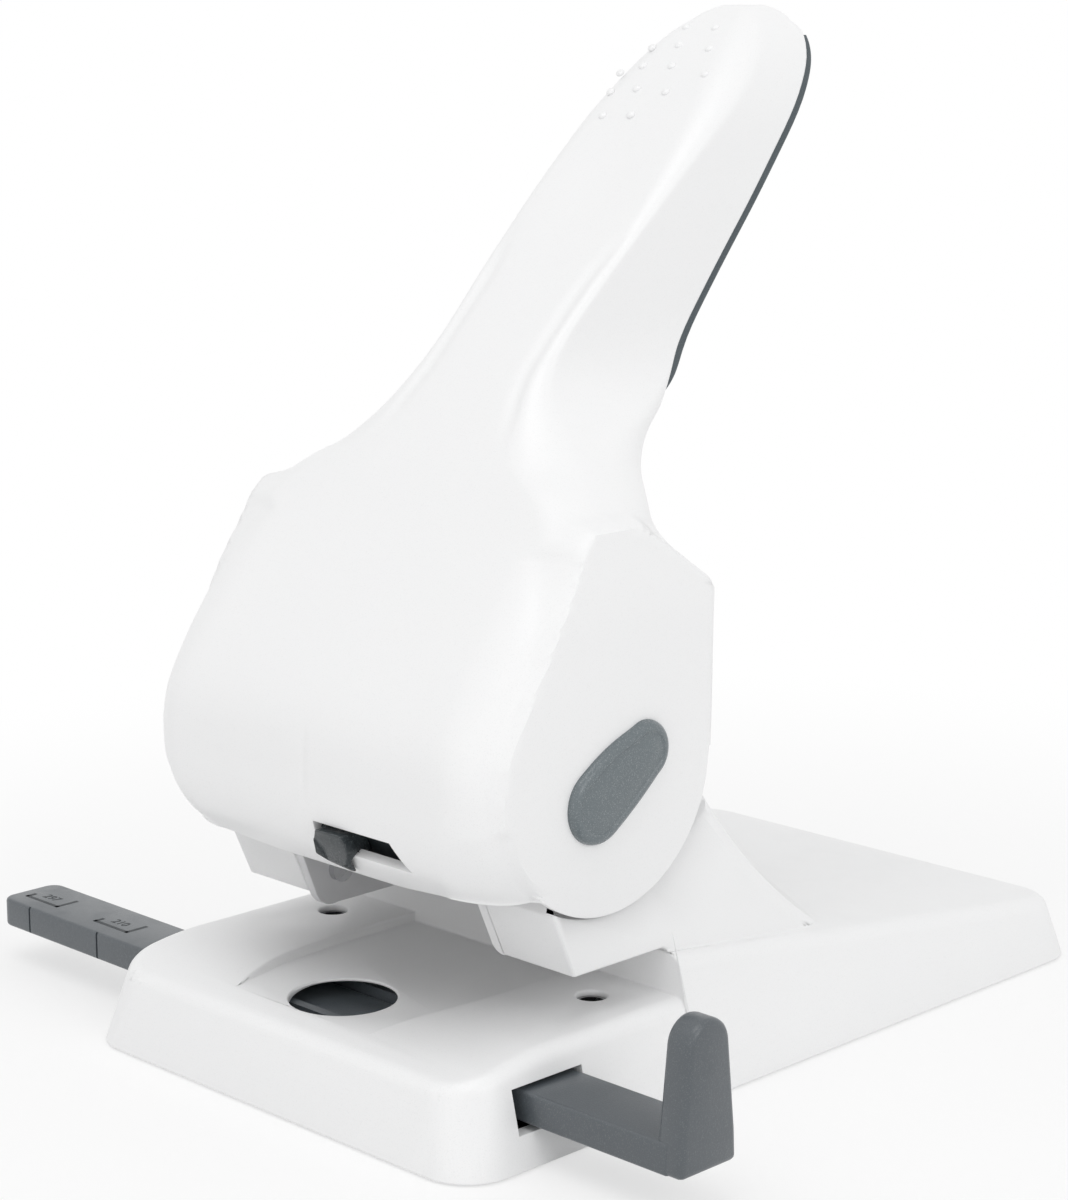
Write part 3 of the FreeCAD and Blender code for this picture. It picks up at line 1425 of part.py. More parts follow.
def build_rods():
    """The axle and the two rods of the lever, all along X."""
    axle_half = "(Sizes.ear_outer - Sizes.side_gap)"
    rod("axle", "Sizes.axle_radius", f"2 * {axle_half}", f"-{axle_half}",
        "(-Sizes.pivot_ahead)", "Sizes.pivot_height")
    crank = "(Sizes.punch_travel / (2 * sin(Sizes.lever_swing / 2 * 1 deg)))"
    drive_half = "(Sizes.arm_inner + Sizes.arm_thickness + Sizes.screw_radius)"
    rod("drive_rod", "Sizes.drive_rod_radius", f"2 * {drive_half}", f"-{drive_half}",
        f"({crank} * cos(Sizes.crank_rise * 1 deg) - Sizes.pivot_ahead)",
        f"Sizes.pivot_height + {crank} * sin(Sizes.crank_rise * 1 deg)")
    handle_half = str(handle_rod_half())
    rod("handle_rod", "Sizes.handle_rod_radius", f"2 * {handle_half}", f"-{handle_half}",
        "(Sizes.handle_rod_back - Sizes.pivot_ahead)", "Sizes.pivot_height + Sizes.handle_rod_rise")


build_base_housing()
build_side_plates()
build_rods()
build_axle_clips()
build_catch_plate()
build_guide_keeper()
build_detent_spring()
build_underside()
build_chip_door()
build_frame_screws()
build_lever_shell()
build_handle_grip()
build_pivot_caps()
build_lever_arms()
build_press_beam()
build_lock()
build_paper_guide()
for hand, side in (("left", "-1"), ("right", "1")):
    build_punch_pin(f"punch_pin_{hand}", side)
    build_die(f"die_{hand}", side)
    tube(f"guide_bush_{hand}", side, "Sizes.bush_radius", "Sizes.pin_radius + Sizes.pin_slip",
         "Sizes.throat_roof", "Sizes.spring_seat - Sizes.throat_roof")
    tube(f"pin_spring_{hand}", side, "Sizes.spring_radius + Sizes.spring_wire / 2",
         "Sizes.spring_radius - Sizes.spring_wire / 2", "Sizes.spring_seat",
         "Sizes.beam_low + Sizes.spring_pocket - Sizes.spring_seat")

doc.recompute()
for obj in doc.Objects:
    states = [state for state in obj.State if state in ("Invalid", "Error")]
    assert not states, f"{obj.Label}: {states}"
for label, obj in nodes.items():
    shape = obj.Shape
    assert not shape.isNull() and shape.isValid() and shape.Volume > 0, label
for label, obj in nodes.items():
    obj.Shape.exportStep(f"parts/{label}.step")
    box = obj.Shape.BoundBox
    print(f"{label}: {len(obj.Shape.Solids)} solids, {obj.Shape.Volume:.0f} cubic mm, "
          f"{box.XMin:.1f}..{box.XMax:.1f} {box.YMin:.1f}..{box.YMax:.1f} {box.ZMin:.1f}..{box.ZMax:.1f}")
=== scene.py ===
import math

import bmesh
import bpy
from mathutils import Matrix, Vector


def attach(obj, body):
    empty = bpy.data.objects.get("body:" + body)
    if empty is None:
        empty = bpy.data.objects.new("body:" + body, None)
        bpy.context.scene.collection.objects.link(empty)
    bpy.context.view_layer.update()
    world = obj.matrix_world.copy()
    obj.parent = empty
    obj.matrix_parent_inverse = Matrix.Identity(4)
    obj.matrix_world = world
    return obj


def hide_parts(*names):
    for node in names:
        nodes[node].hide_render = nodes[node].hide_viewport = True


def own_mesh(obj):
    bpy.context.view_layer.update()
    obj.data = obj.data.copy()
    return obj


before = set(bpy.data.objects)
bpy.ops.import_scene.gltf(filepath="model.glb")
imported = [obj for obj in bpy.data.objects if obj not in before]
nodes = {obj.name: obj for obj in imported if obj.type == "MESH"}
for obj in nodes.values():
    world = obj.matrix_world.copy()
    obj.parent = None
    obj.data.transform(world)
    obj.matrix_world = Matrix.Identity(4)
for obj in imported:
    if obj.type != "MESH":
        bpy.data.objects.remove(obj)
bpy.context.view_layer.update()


# Base housing. One white injection moulding: paper table, sloping rear deck, and the tower whose
# two legs stand over the paper throat. It leaves the mould with soft edges and a fine spark finish.
HOLE_LINE = -46.5


def at(x, y, z):
    """A point of the frame from millimetres, with y measured from the line of the punched holes."""
    return Vector((x, y + HOLE_LINE, z)) / 1000


def in_mm(point):
    """The way back: x, y and z in millimetres, with y from the line of the punched holes."""
    return point.x * 1000, point.y * 1000 - HOLE_LINE, point.z * 1000


def mould_grain_group():
    """Fine moulded texture, slow cloudiness of tone, pigment speckle and faint handling marks."""
    group = bpy.data.node_groups.new("mould_grain", "ShaderNodeTree")
    group.interface.new_socket("Vector", in_out="INPUT", socket_type="NodeSocketVector")
    group.interface.new_socket("Grain Scale", in_out="INPUT", socket_type="NodeSocketFloat")
    group.interface.new_socket("Cloud Scale", in_out="INPUT", socket_type="NodeSocketFloat")
    group.interface.new_socket("Height", in_out="OUTPUT", socket_type="NodeSocketFloat")
    group.interface.new_socket("Cloud", in_out="OUTPUT", socket_type="NodeSocketFloat")
    group.interface.new_socket("Speckle", in_out="OUTPUT", socket_type="NodeSocketFloat")
    group.interface.new_socket("Handling", in_out="OUTPUT", socket_type="NodeSocketFloat")
    tree, links = group.nodes, group.links
    given = tree.new("NodeGroupInput")
    out = tree.new("NodeGroupOutput")
    grain = tree.new("ShaderNodeTexNoise")
    grain.inputs["Detail"].default_value = 3.0
    grain.inputs["Roughness"].default_value = 0.55
    cloud = tree.new("ShaderNodeTexNoise")
    cloud.inputs["Detail"].default_value = 2.0
    dots = tree.new("ShaderNodeTexNoise")
    dots.inputs["Scale"].default_value = 4200.0
    dots.inputs["Detail"].default_value = 1.0
    dots_sharp = tree.new("ShaderNodeMapRange")
    dots_sharp.inputs["From Min"].default_value = 0.56
    dots_sharp.inputs["From Max"].default_value = 0.72
    marks = tree.new("ShaderNodeTexNoise")
    marks.inputs["Scale"].default_value = 95.0
    marks.inputs["Detail"].default_value = 5.0
    marks.inputs["Distortion"].default_value = 1.2
    marks_soft = tree.new("ShaderNodeMapRange")
    marks_soft.inputs["From Min"].default_value = 0.45
    marks_soft.inputs["From Max"].default_value = 0.75
    for texture in (grain, cloud, dots, marks):
        links.new(given.outputs["Vector"], texture.inputs["Vector"])
    links.new(given.outputs["Grain Scale"], grain.inputs["Scale"])
    links.new(given.outputs["Cloud Scale"], cloud.inputs["Scale"])
    links.new(dots.outputs["Fac"], dots_sharp.inputs["Value"])
    links.new(marks.outputs["Fac"], marks_soft.inputs["Value"])
    links.new(grain.outputs["Fac"], out.inputs["Height"])
    links.new(cloud.outputs["Fac"], out.inputs["Cloud"])
    links.new(dots_sharp.outputs["Result"], out.inputs["Speckle"])
    links.new(marks_soft.outputs["Result"], out.inputs["Handling"])
    return group


mould_grain = mould_grain_group()


def grained(name, tones, sheens, scales, grain_depth, grain_strength):
    """A material of two close tones with fine grain and an uneven gloss, and its main nodes."""
    material = bpy.data.materials.new(name)
    material.use_nodes = True
    tree, links = material.node_tree.nodes, material.node_tree.links
    surface = tree["Principled BSDF"]
    place = tree.new("ShaderNodeTexCoord")
    grain = tree.new("ShaderNodeGroup")
    grain.node_tree = mould_grain
    grain.inputs["Grain Scale"].default_value, grain.inputs["Cloud Scale"].default_value = scales
    colour = tree.new("ShaderNodeMix")
    colour.data_type = "RGBA"
    colour.inputs["B"].default_value, colour.inputs["A"].default_value = [(*tone, 1) for tone in tones]
    sheen = tree.new("ShaderNodeMapRange")
    sheen.inputs["To Min"].default_value, sheen.inputs["To Max"].default_value = sheens
    bump = tree.new("ShaderNodeBump")
    bump.inputs["Distance"].default_value = grain_depth
    bump.inputs["Strength"].default_value = grain_strength
    links.new(place.outputs["Object"], grain.inputs["Vector"])
    links.new(grain.outputs["Cloud"], colour.inputs["Factor"])
    links.new(colour.outputs["Result"], surface.inputs["Base Color"])
    links.new(grain.outputs["Handling"], sheen.inputs["Value"])
    links.new(sheen.outputs["Result"], surface.inputs["Roughness"])
    links.new(grain.outputs["Height"], bump.inputs["Height"])
    links.new(bump.outputs["Normal"], surface.inputs["Normal"])
    return material, surface, place, grain, colour


def moulding(name, tone, shade, speckle, gloss, dull, grain_scale, grain_depth):
    """A moulded plastic or rubber surface with pigment speckle."""
    material, surface, _, grain, colour = grained(name, (tone, shade), (gloss, dull), (grain_scale, 26.0),
                                                  grain_depth, 0.6)
    links = material.node_tree.links
    flecks = material.node_tree.nodes.new("ShaderNodeMix")
    flecks.data_type = "RGBA"
    flecks.inputs["B"].default_value = (*speckle, 1)
    links.new(colour.outputs["Result"], flecks.inputs["A"])
    links.new(grain.outputs["Speckle"], flecks.inputs["Factor"])
    links.new(flecks.outputs["Result"], surface.inputs["Base Color"])
    return material


white_abs = moulding("white_abs", (0.892, 0.893, 0.895), (0.872, 0.874, 0.877), (0.84, 0.842, 0.845),
                     0.34, 0.44, 2600, 0.00002)


def merged_copy(node):
    """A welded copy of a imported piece, with its flat faces whole again."""
    bm = bmesh.new()
    bm.from_mesh(nodes[node].data)
    bmesh.ops.remove_doubles(bm, verts=bm.verts, dist=0.000002)
    bmesh.ops.dissolve_limit(bm, angle_limit=math.radians(0.5), verts=bm.verts, edges=bm.edges)
    return bm


def soften(bm, width, sharpest=30, wanted=None):
    """Rounds the sharp edges of a piece as its mould or its tumbling does."""
    edges = [edge for edge in bm.edges
             if len(edge.link_faces) == 2 and edge.calc_face_angle(0) > math.radians(sharpest)
             and (wanted is None or wanted(edge))]
    bmesh.ops.bevel(bm, geom=edges, offset=width / 1000, offset_type="OFFSET", affect="EDGES",
                    segments=3, profile=0.5, material=-1, clamp_overlap=False)


def piece_from(bm, name, material, body, slot, *replaced):
    """Makes a finished mesh a piece that rides on a body."""
    mesh = bpy.data.meshes.new(name)
    bm.to_mesh(mesh)
    bm.free()
    mesh.materials.append(material)
    mesh.shade_smooth()
    mesh.set_sharp_from_angle(angle=math.radians(35))
    piece = bpy.data.objects.new(name, mesh)
    bpy.context.collection.objects.link(piece)
    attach(piece, body)
    if replaced:
        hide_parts(*replaced)
    return piece


def block(bm, low, high):
    """A cube stretched between two corners, in millimetres."""
    made = bmesh.ops.create_cube(bm, size=1.0)["verts"]
    low, high = at(*low), at(*high)
    for vert in made:
        vert.co = Vector([(a + b) / 2 + share * (b - a) for a, b, share in zip(low, high, vert.co)])
    return made


def cut_across(bm, faces, place, normal, dist):
    """Cuts some faces of a mesh along a plane, without taking anything away."""
    edges = list(dict.fromkeys(edge for face in faces for edge in face.edges))
    verts = list(dict.fromkeys(vert for face in faces for vert in face.verts))
    bmesh.ops.bisect_plane(bm, geom=verts + edges + faces, plane_co=place, plane_no=normal, dist=dist)


def middle_of(edge):
    """Middle of an edge in millimetres, with y from the line of the punched holes."""
    middle = (edge.verts[0].co + edge.verts[1].co) * 500
    return middle.x, middle.y - HOLE_LINE, middle.z


TABLE_FRONT, TABLE_REACH, STRAIGHT_FRONT = -44.5, -43.9, 49.0
SEAT_Y, SEAT_Z, SEAT_RADIUS = -7.2, 72.0, 34.0
LEG_FACE = 30.2
LIP_LOW_CORNER, LIP_HIGH_CORNER = (27.8, -16.0, 31.22), (30.4, -11.0, 48.0)
LIP_LEVEL, LEG_RUN, LEG_RISE, LIP_PROUD, LIP_ROUND = 31.2, 6.1, 13.8, 0.6, 2.2


def front_edge(edge):
    """The table's front edge and its two corners, which are rounder than the other edges."""
    _, y, z = middle_of(edge)
    tilts = sorted(face.normal.z for face in edge.link_faces)
    return y < TABLE_FRONT and z > 12 and tilts[0] < 0.5 and tilts[-1] > 0.72


def guide_slot_edge(edge):
    """The edges of the guide bar's slots through the flanks, which stay crisp."""
    x, y, z = middle_of(edge)
    return abs(x) > 45 and -40 < y < -16 and 6 < z < 18.5


def ear_seat_edge(edge):
    """The edges of the shallow seats that the lever's ears turn in."""
    x, y, z = middle_of(edge)
    return abs(x) > 46 and math.hypot(y - SEAT_Y, z - SEAT_Z) < SEAT_RADIUS


def lip_edge(edge):
    """The right leg's inner front edge, which meets the white lip."""
    first, last = [in_mm(vert.co) for vert in edge.verts]
    return first[1] < -12 and first[2] > 30 and max(abs(first[0] - LEG_FACE), abs(last[0] - LEG_FACE)) < 0.3


def front_face_edge(edge):
    """The edges of the table's front face above its foot, which the rounding runs into."""
    ends = [in_mm(vert.co) for vert in edge.verts]
    return min(end[1] for end in ends) <= -47.5 and max(end[2] for end in ends) >= 12


KEPT_CRISP = (front_edge, guide_slot_edge, ear_seat_edge, lip_edge, front_face_edge)
housing = merged_copy("base_housing")
bmesh.ops.recalc_face_normals(housing, faces=housing.faces)
soften(housing, 0.5, 30, lambda edge: not any(kept(edge) for kept in KEPT_CRISP))
bmesh.ops.recalc_face_normals(housing, faces=housing.faces)

# The table's front edge is cut into a fine net, and the net is smoothed near the edge.
edge_line = [vert.co.copy() for edge in housing.edges if front_edge(edge) for vert in edge.verts]
cuts = [((0, -55 + 0.5 * step, 0), (0, 1, 0)) for step in range(24)]
cuts += [((0, 0, 12.0 + 0.5 * step), (0, 0, 1)) for step in range(14)]
cuts += [((-58 + 2.0 * step, 0, 0), (1, 0, 0)) for step in range(59)]
for place, normal in cuts:
    faces = [face for face in housing.faces
             if max(in_mm(vert.co)[1] for vert in face.verts) < TABLE_REACH
             and face.calc_center_median().z > 0.009 and face.normal.z > -0.2]
    cut_across(housing, faces, at(*place), normal, 0.00001)


def edge_line_gap(point):
    """Distance from the table's front edge, square to it along its straight part."""
    gaps = []
    for mark in edge_line:
        straight = max(abs(mark.x), abs(point.x)) * 1000 < STRAIGHT_FRONT
        gaps.append((point - Vector((point.x if straight else mark.x, mark.y, mark.z))).length)
    return min(gaps)


near_line = [vert for vert in housing.verts
             if in_mm(vert.co)[1] < -43.5 and 0.010 < vert.co.z < 0.0212 and edge_line_gap(vert.co) < 0.0019]
for _ in range(7):
    bmesh.ops.smooth_vert(housing, verts=near_line, factor=0.5, use_axis_x=False, use_axis_y=True,
                          use_axis_z=True)
bmesh.ops.recalc_face_normals(housing, faces=housing.faces)

# The white lip in front of the right side plate slants with the leg and has a rounded foot.
lip = block(housing, LIP_LOW_CORNER, LIP_HIGH_CORNER)
for vert in lip:
    _, y, z = in_mm(vert.co)
    slant = (z - LIP_LEVEL) * LEG_RUN / LEG_RISE
    vert.co.y -= (slant - LIP_PROUD if y < -13 else slant) / 1000
lip_inner = LIP_LOW_CORNER[0] / 1000
lip_foot = [edge for edge in dict.fromkeys(edge for vert in lip for edge in vert.link_edges)
            if all(abs(vert.co.x - lip_inner) < 0.0001 and vert.co.z < 0.032 for vert in edge.verts)]
bmesh.ops.bevel(housing, geom=lip_foot, offset=LIP_ROUND / 1000, offset_type="OFFSET", affect="EDGES",
                segments=6, profile=0.5, material=-1)
bmesh.ops.recalc_face_normals(housing, faces=housing.faces)
piece_from(housing, "base_moulding", white_abs, "base", "white_plastic", "base_housing")


# Underside. A black steel plate closes the housing with six screws, and a thin moulded rubber mat
# is pressed over it so that the punch grips the desk.
def rolled_metal(name, tone, shade, gloss, dull, metallic, line_scale):
    """Rolled or ground metal: fine lines along X, two close tones and finger marks."""
    material, surface, place, grain, _ = grained(name, (tone, shade), (gloss, dull), (line_scale, 60.0),
                                                 0.00001, 0.5)
    surface.inputs["Metallic"].default_value = metallic
    stretch = material.node_tree.nodes.new("ShaderNodeMapping")
    stretch.inputs["Scale"].default_value = (0.06, 1.0, 1.0)
    material.node_tree.links.new(place.outputs["Object"], stretch.inputs["Vector"])
    material.node_tree.links.new(stretch.outputs["Vector"], grain.inputs["Vector"])
    return material


def finish_node(name, material):
    """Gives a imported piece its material."""
    nodes[name].data.materials.clear()
    nodes[name].data.materials.append(material)


black_steel = rolled_metal("black_steel", (0.045, 0.05, 0.055), (0.03, 0.034, 0.04), 0.36, 0.5, 0.2, 1500)
zinc_plate = rolled_metal("zinc_plate", (0.62, 0.62, 0.63), (0.54, 0.55, 0.57), 0.24, 0.4, 1.0, 1200)
mat_rubber = moulding("mat_rubber", (0.075, 0.085, 0.09), (0.055, 0.065, 0.07), (0.09, 0.1, 0.105),
                      0.6, 0.74, 1500, 0.00008)
finish_node("base_plate", black_steel)
finish_node("base_plate_screws", zinc_plate)
finish_node("base_pad", mat_rubber)


# Chip door. A slate moulding that snaps on two pins in the base plate's opening and swings down
# to let the punched chips out.
slate_abs = moulding("slate_abs", (0.088, 0.101, 0.112), (0.07, 0.082, 0.093), (0.125, 0.138, 0.148),
                     0.28, 0.4, 2200, 0.00007)
slate_abs.node_tree.nodes["Principled BSDF"].inputs["Specular IOR Level"].default_value = 0.7
chip_door = merged_copy("chip_door")
soften(chip_door, 0.2)
bmesh.ops.recalc_face_normals(chip_door, faces=chip_door.faces)
piece_from(chip_door, "chip_door_moulding", slate_abs, "door", "slate_plastic", "chip_door")


# Guide channel. A slate keeper closed over the paper guide inside the base, with a bowed leaf of
# spring steel in its floor that holds the guide where it is set.
finish_node("guide_keeper", slate_abs)
finish_node("guide_detent_spring", zinc_plate)


# Paper guide. A dark moulded bar that slides through the base, with a thumb stop at its right end
# and two engraved format marks, each with a number and a groove, at its left end.
BAR_FRONT, BAR_REAR, BAR_LOW, BAR_HIGH = -35.8, -20.2, 8.5, 15.0
BAR_LEFT, STOP_INNER, STOP_OUTER = -117.5, 90.5, 97.0
STOP_TOP, STOP_ROUND = 38.08, 5.6
STOP_MIDDLE = (BAR_FRONT + BAR_REAR) / 2
GROOVES, GROOVE_HALF = (-106.2, -80.3), 0.3
guide = bmesh.new()
block(guide, (BAR_LEFT, BAR_FRONT, BAR_LOW), (STOP_INNER + 3, BAR_REAR, BAR_HIGH))
end_edges = [edge for edge in guide.edges if all(vert.co.x < -0.1 for vert in edge.verts)
             and abs(edge.verts[0].co.z - edge.verts[1].co.z) > 0.003]
bmesh.ops.bevel(guide, geom=end_edges, offset=0.0032, offset_type="OFFSET", affect="EDGES",
                segments=6, profile=0.5, material=-1)
soften(guide, 0.7, 40)
for groove in GROOVES:
    for edge_place in (groove - GROOVE_HALF, groove + GROOVE_HALF):
        bmesh.ops.bisect_plane(guide, geom=guide.verts[:] + guide.edges[:] + guide.faces[:],
                               plane_co=at(edge_place, 0, 0), plane_no=(1, 0, 0), dist=0.0000001)
    strip = [face for face in guide.faces
             if abs(face.calc_center_median().x * 1000 - groove) < GROOVE_HALF and face.normal.y < -0.5]
    bmesh.ops.inset_region(guide, faces=strip, thickness=0.00005, depth=-0.0005)
stop_first = len(guide.verts)
arc_centre = STOP_TOP - STOP_ROUND
stop_outline = [(BAR_REAR, BAR_LOW), (BAR_REAR - 0.3, BAR_HIGH)]
stop_outline += [(STOP_MIDDLE + STOP_ROUND * math.cos(math.radians(turn)),
                  arc_centre + STOP_ROUND * math.sin(math.radians(turn))) for turn in range(4, 177, 9)]
stop_outline += [(BAR_FRONT + 0.3, BAR_HIGH), (BAR_FRONT, BAR_LOW)]
stop_corners = [guide.verts.new(at(STOP_INNER, y, z)) for y, z in stop_outline]
stop_face = guide.faces.new(stop_corners)
grown = bmesh.ops.extrude_face_region(guide, geom=[stop_face])["geom"]
stop_outer = [part for part in grown if isinstance(part, bmesh.types.BMVert)]
bmesh.ops.translate(guide, vec=((STOP_OUTER - STOP_INNER) / 1000, 0, 0), verts=stop_outer)
guide.verts.ensure_lookup_table()
stop_verts = set(guide.verts[stop_first:])
bmesh.ops.recalc_face_normals(guide, faces=guide.faces)
soften(guide, 1.3, 50, lambda edge: all(vert in stop_verts for vert in edge.verts))
bmesh.ops.recalc_face_normals(guide, faces=guide.faces)
piece_from(guide, "paper_guide_bar", slate_abs, "guide", "guide_plastic", "paper_guide")

engraving = moulding("engraving", (0.02, 0.026, 0.03), (0.015, 0.02, 0.024), (0.03, 0.035, 0.04),
                     0.5, 0.6, 2200, 0.00003)
MARK_FRONT, MARK_LINE, MARK_LOW, MARK_HIGH = -31.4, 0.9, BAR_HIGH - 0.1, BAR_HIGH + 0.04
marks = bmesh.new()
for left, right in ((-114.0, -101.5), (-87.5, -75.0)):
    for line_left, line_right, line_rear in ((left, right, MARK_FRONT + MARK_LINE),
                                             (right - MARK_LINE, right, -25.2),
                                             (left, left + MARK_LINE, -28.6)):
        block(marks, (line_left, MARK_FRONT, MARK_LOW), (line_right, line_rear, MARK_HIGH))
piece_from(marks, "guide_format_marks", engraving, "guide", "guide_plastic")
for label, middle in (("297", -108.2), ("210", -81.7)):
    writing = bpy.data.curves.new("format_" + label, "FONT")
    writing.body = label
    writing.size = 3.4
    writing.extrude = 0.06
    writing.align_x = "CENTER"
    drawn = bpy.data.objects.new("format_text_" + label, writing)
    bpy.context.collection.objects.link(drawn)
    bpy.context.view_layer.update()
    number = bmesh.new()
    number.from_mesh(bpy.data.meshes.new_from_object(drawn))
    bpy.data.objects.remove(drawn)
    bmesh.ops.scale(number, vec=(0.001, 0.001, 0.001), verts=number.verts)
    bmesh.ops.translate(number, vec=at(middle, -28.9, BAR_HIGH - 0.02), verts=number.verts)
    piece_from(number, "guide_number_" + label, engraving, "guide", "guide_plastic")


# Dies and frame. Hardened dies sit under the table's two holes. The grey pressed steel side plates
# stand on the legs' inner faces with four screws, and carry the axle and its clips.
ground_steel = rolled_metal("ground_steel", (0.66, 0.66, 0.665), (0.58, 0.58, 0.59), 0.18, 0.3, 1.0, 1800)
for name in ("die_left", "die_right"):
    finish_node(name, ground_steel)
grey_plate = rolled_metal("grey_plate", (0.74, 0.74, 0.75), (0.68, 0.68, 0.69), 0.4, 0.52, 0.15, 1500)
PLATE_FOOT, PLATE_SET_BACK = 31.3, 1.2
for side in ("left", "right"):
    plate = merged_copy("side_plate_" + side)
    if side == "right":
        # Its foot and its front edge end behind the housing's white lip.
        bmesh.ops.bisect_plane(plate, geom=plate.verts[:] + plate.edges[:] + plate.faces[:],
                               plane_co=at(0, 0, PLATE_FOOT), plane_no=(0, 0, 1), clear_inner=True,
                               dist=0.0000001)
        bmesh.ops.holes_fill(plate, edges=plate.edges)
        for vert in plate.verts:
            _, y, z = in_mm(vert.co)
            if y < -12 and z < 46:
                vert.co.y += PLATE_SET_BACK / 1000
    soften(plate, 0.25)
    bmesh.ops.recalc_face_normals(plate, faces=plate.faces)
    piece_from(plate, "frame_plate_" + side, grey_plate, "base", "grey_steel", "side_plate_" + side)
for name in ("frame_screws", "axle", "axle_clips"):
    finish_node(name, zinc_plate)
finish_node("catch_plate", black_steel)


# Punching gear. Ground pins headed under a folded steel beam, guided by bushes in the legs. A coil
# spring of music wire around each pin lifts the beam again.
SPRING_LOW, SPRING_HIGH = 37.0, 57.5
SPRING_RADIUS, SPRING_WIRE = 5.0, 0.6
SPRING_TURNS, STEPS_A_TURN = 6, 22
spring_steel = rolled_metal("spring_steel", (0.5, 0.5, 0.51), (0.4, 0.4, 0.42), 0.25, 0.4, 1.0, 1600)
for side, x_place in (("left", -40.0), ("right", 40.0)):
    coil = bmesh.new()
    wire = bmesh.ops.create_circle(coil, segments=10, radius=SPRING_WIRE / 1000, cap_ends=False)["verts"]
    wire_start = Matrix.Translation(at(x_place + SPRING_RADIUS, 0, SPRING_LOW + SPRING_WIRE))
    bmesh.ops.transform(coil, matrix=wire_start @ Matrix.Rotation(math.pi / 2, 4, "X"), verts=wire)
    steps = SPRING_TURNS * STEPS_A_TURN
    climb = (SPRING_HIGH - SPRING_LOW - 2 * SPRING_WIRE) / steps / 1000
    bmesh.ops.spin(coil, geom=wire + coil.edges[:], cent=at(x_place, 0, 0), axis=(0, 0, 1),
                   dvec=(0, 0, climb), angle=2 * math.pi * SPRING_TURNS, steps=steps, use_merge=False)
    bmesh.ops.holes_fill(coil, edges=coil.edges)
    bmesh.ops.recalc_face_normals(coil, faces=coil.faces)
    spring = piece_from(coil, "return_coil_" + side, spring_steel, "base", "spring_steel",
                        "pin_spring_" + side)
    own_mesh(spring)
    finish_node("punch_pin_" + side, ground_steel)
    finish_node("guide_bush_" + side, ground_steel)
beam = merged_copy("press_beam")
soften(beam, 0.3)
bmesh.ops.recalc_face_normals(beam, faces=beam.faces)
piece_from(beam, "punch_beam", black_steel, "press", "black_steel", "press_beam")


# Lever frame. Two flat steel arms turn on the axle inside the lever, held apart by a rod that
# presses the beam and a rod up in the handle.
for side in ("left", "right"):
    finish_node("lever_arm_" + side, grey_plate)
finish_node("drive_rod", ground_steel)
finish_node("handle_rod", zinc_plate)


# Lever cover. One thin white moulding with the lever frame inside it: the rounded shield in front,
# the two flat ears over the pivot, and the handle that leans back from them.
# Each table gives one measure of the level section by height: its front, its half width, how far
# its front corner is rounded, its back, and how far the back corner is rounded each way.
FRONT_Y = [(43, -28), (47, -33), (50, -36.9), (53.5, -39.6), (57, -41.4), (61, -42.4), (67, -42.6),
           (73, -42.6), (78, -42), (83, -40.2), (88.5, -37), (94, -33.1), (100, -28.6), (109.5, -21.2),
           (117.5, -14.9), (125, -9.6), (130, -6), (136, -1.3), (143, 4.2), (152, 12.5), (165, 25.4),
           (180, 40.4), (195, 55), (205, 65.3), (212, 73.2), (217, 80), (219.7, 86)]
HALF_WIDTH = [(43, 50), (105, 50), (109.5, 49.9), (114, 49.6), (117.5, 48.7), (120.5, 46.3), (125, 40),
              (130, 32.5), (136, 25.6), (140, 22.3), (143, 20), (152, 17.6), (165, 18.4), (180, 19.3),
              (195, 19.6), (200, 18.9), (205, 17.6), (208.8, 16.1), (212, 14.2), (214.7, 12.1), (217, 9.6),
              (218.6, 7), (219.7, 4)]
FRONT_ROUND = [(43, 19), (47, 17), (50, 14.7), (53.5, 13.5), (57, 12.5), (61, 11), (67, 10), (73, 10),
               (78, 11), (84, 12.3), (89, 12.6), (94, 12.8), (100, 13), (105, 13.5), (110, 14), (117, 14.5),
               (125, 13.5), (131, 11), (137, 7.5), (143, 4.6), (152, 2.8), (165, 2.6), (180, 3.6),
               (195, 6.5), (205, 8), (212, 7), (217, 4.5), (219.7, 1.8)]
REAR_Y = [(104, 25.2), (105, 25.4), (109.5, 25.2), (114, 24.7), (117.5, 25.6), (120.5, 27.6), (125, 31.4),
          (130, 36), (136, 41.5), (140, 44.7), (143, 47), (152, 54), (165, 63), (180, 74), (195, 84.9),
          (200, 88.7), (205, 92.2), (208.8, 94.4), (212, 95.6), (214.7, 95.8), (217, 95.4), (218.6, 94.3),
          (219.7, 92.2)]
REAR_ACROSS = [(104, 0.3), (105, 1.5), (107.5, 7.5), (109.5, 12.5), (114, 24), (117.5, 28.5), (120.5, 30),
               (125, 27), (130, 20), (136, 10), (140, 3.5), (143, 1.2), (219.7, 1)]
REAR_ALONG = [(104, 0.3), (105, 1.8), (107.5, 9.5), (109.5, 15.5), (114, 28), (117.5, 31), (120.5, 33),
              (125, 32), (130, 27), (136, 16), (140, 5), (143, 1.2), (219.7, 1)]
GRIP_DEPTH = [(136.6, 0), (139, 0.9), (143, 1.9), (150, 2.3), (190, 2.3), (202, 2.0), (210, 1.1), (214, 0)]
PIVOT_Y, PIVOT_Z, LOBE_RADIUS = -7.2, 72.0, 29.2
EAR_REAR, EAR_TOP_REAR, EAR_REAR_LEAN, EAR_REAR_ROUND = 22.0, 25.2, 2.3 / 32, 0.3
HEM_LOW, HEM_SIDE_RISE, HEM_EAR_RISE, HEM_END = 47.0, 1.9, 0.6, -25.7
OPEN_TOP = 104.0


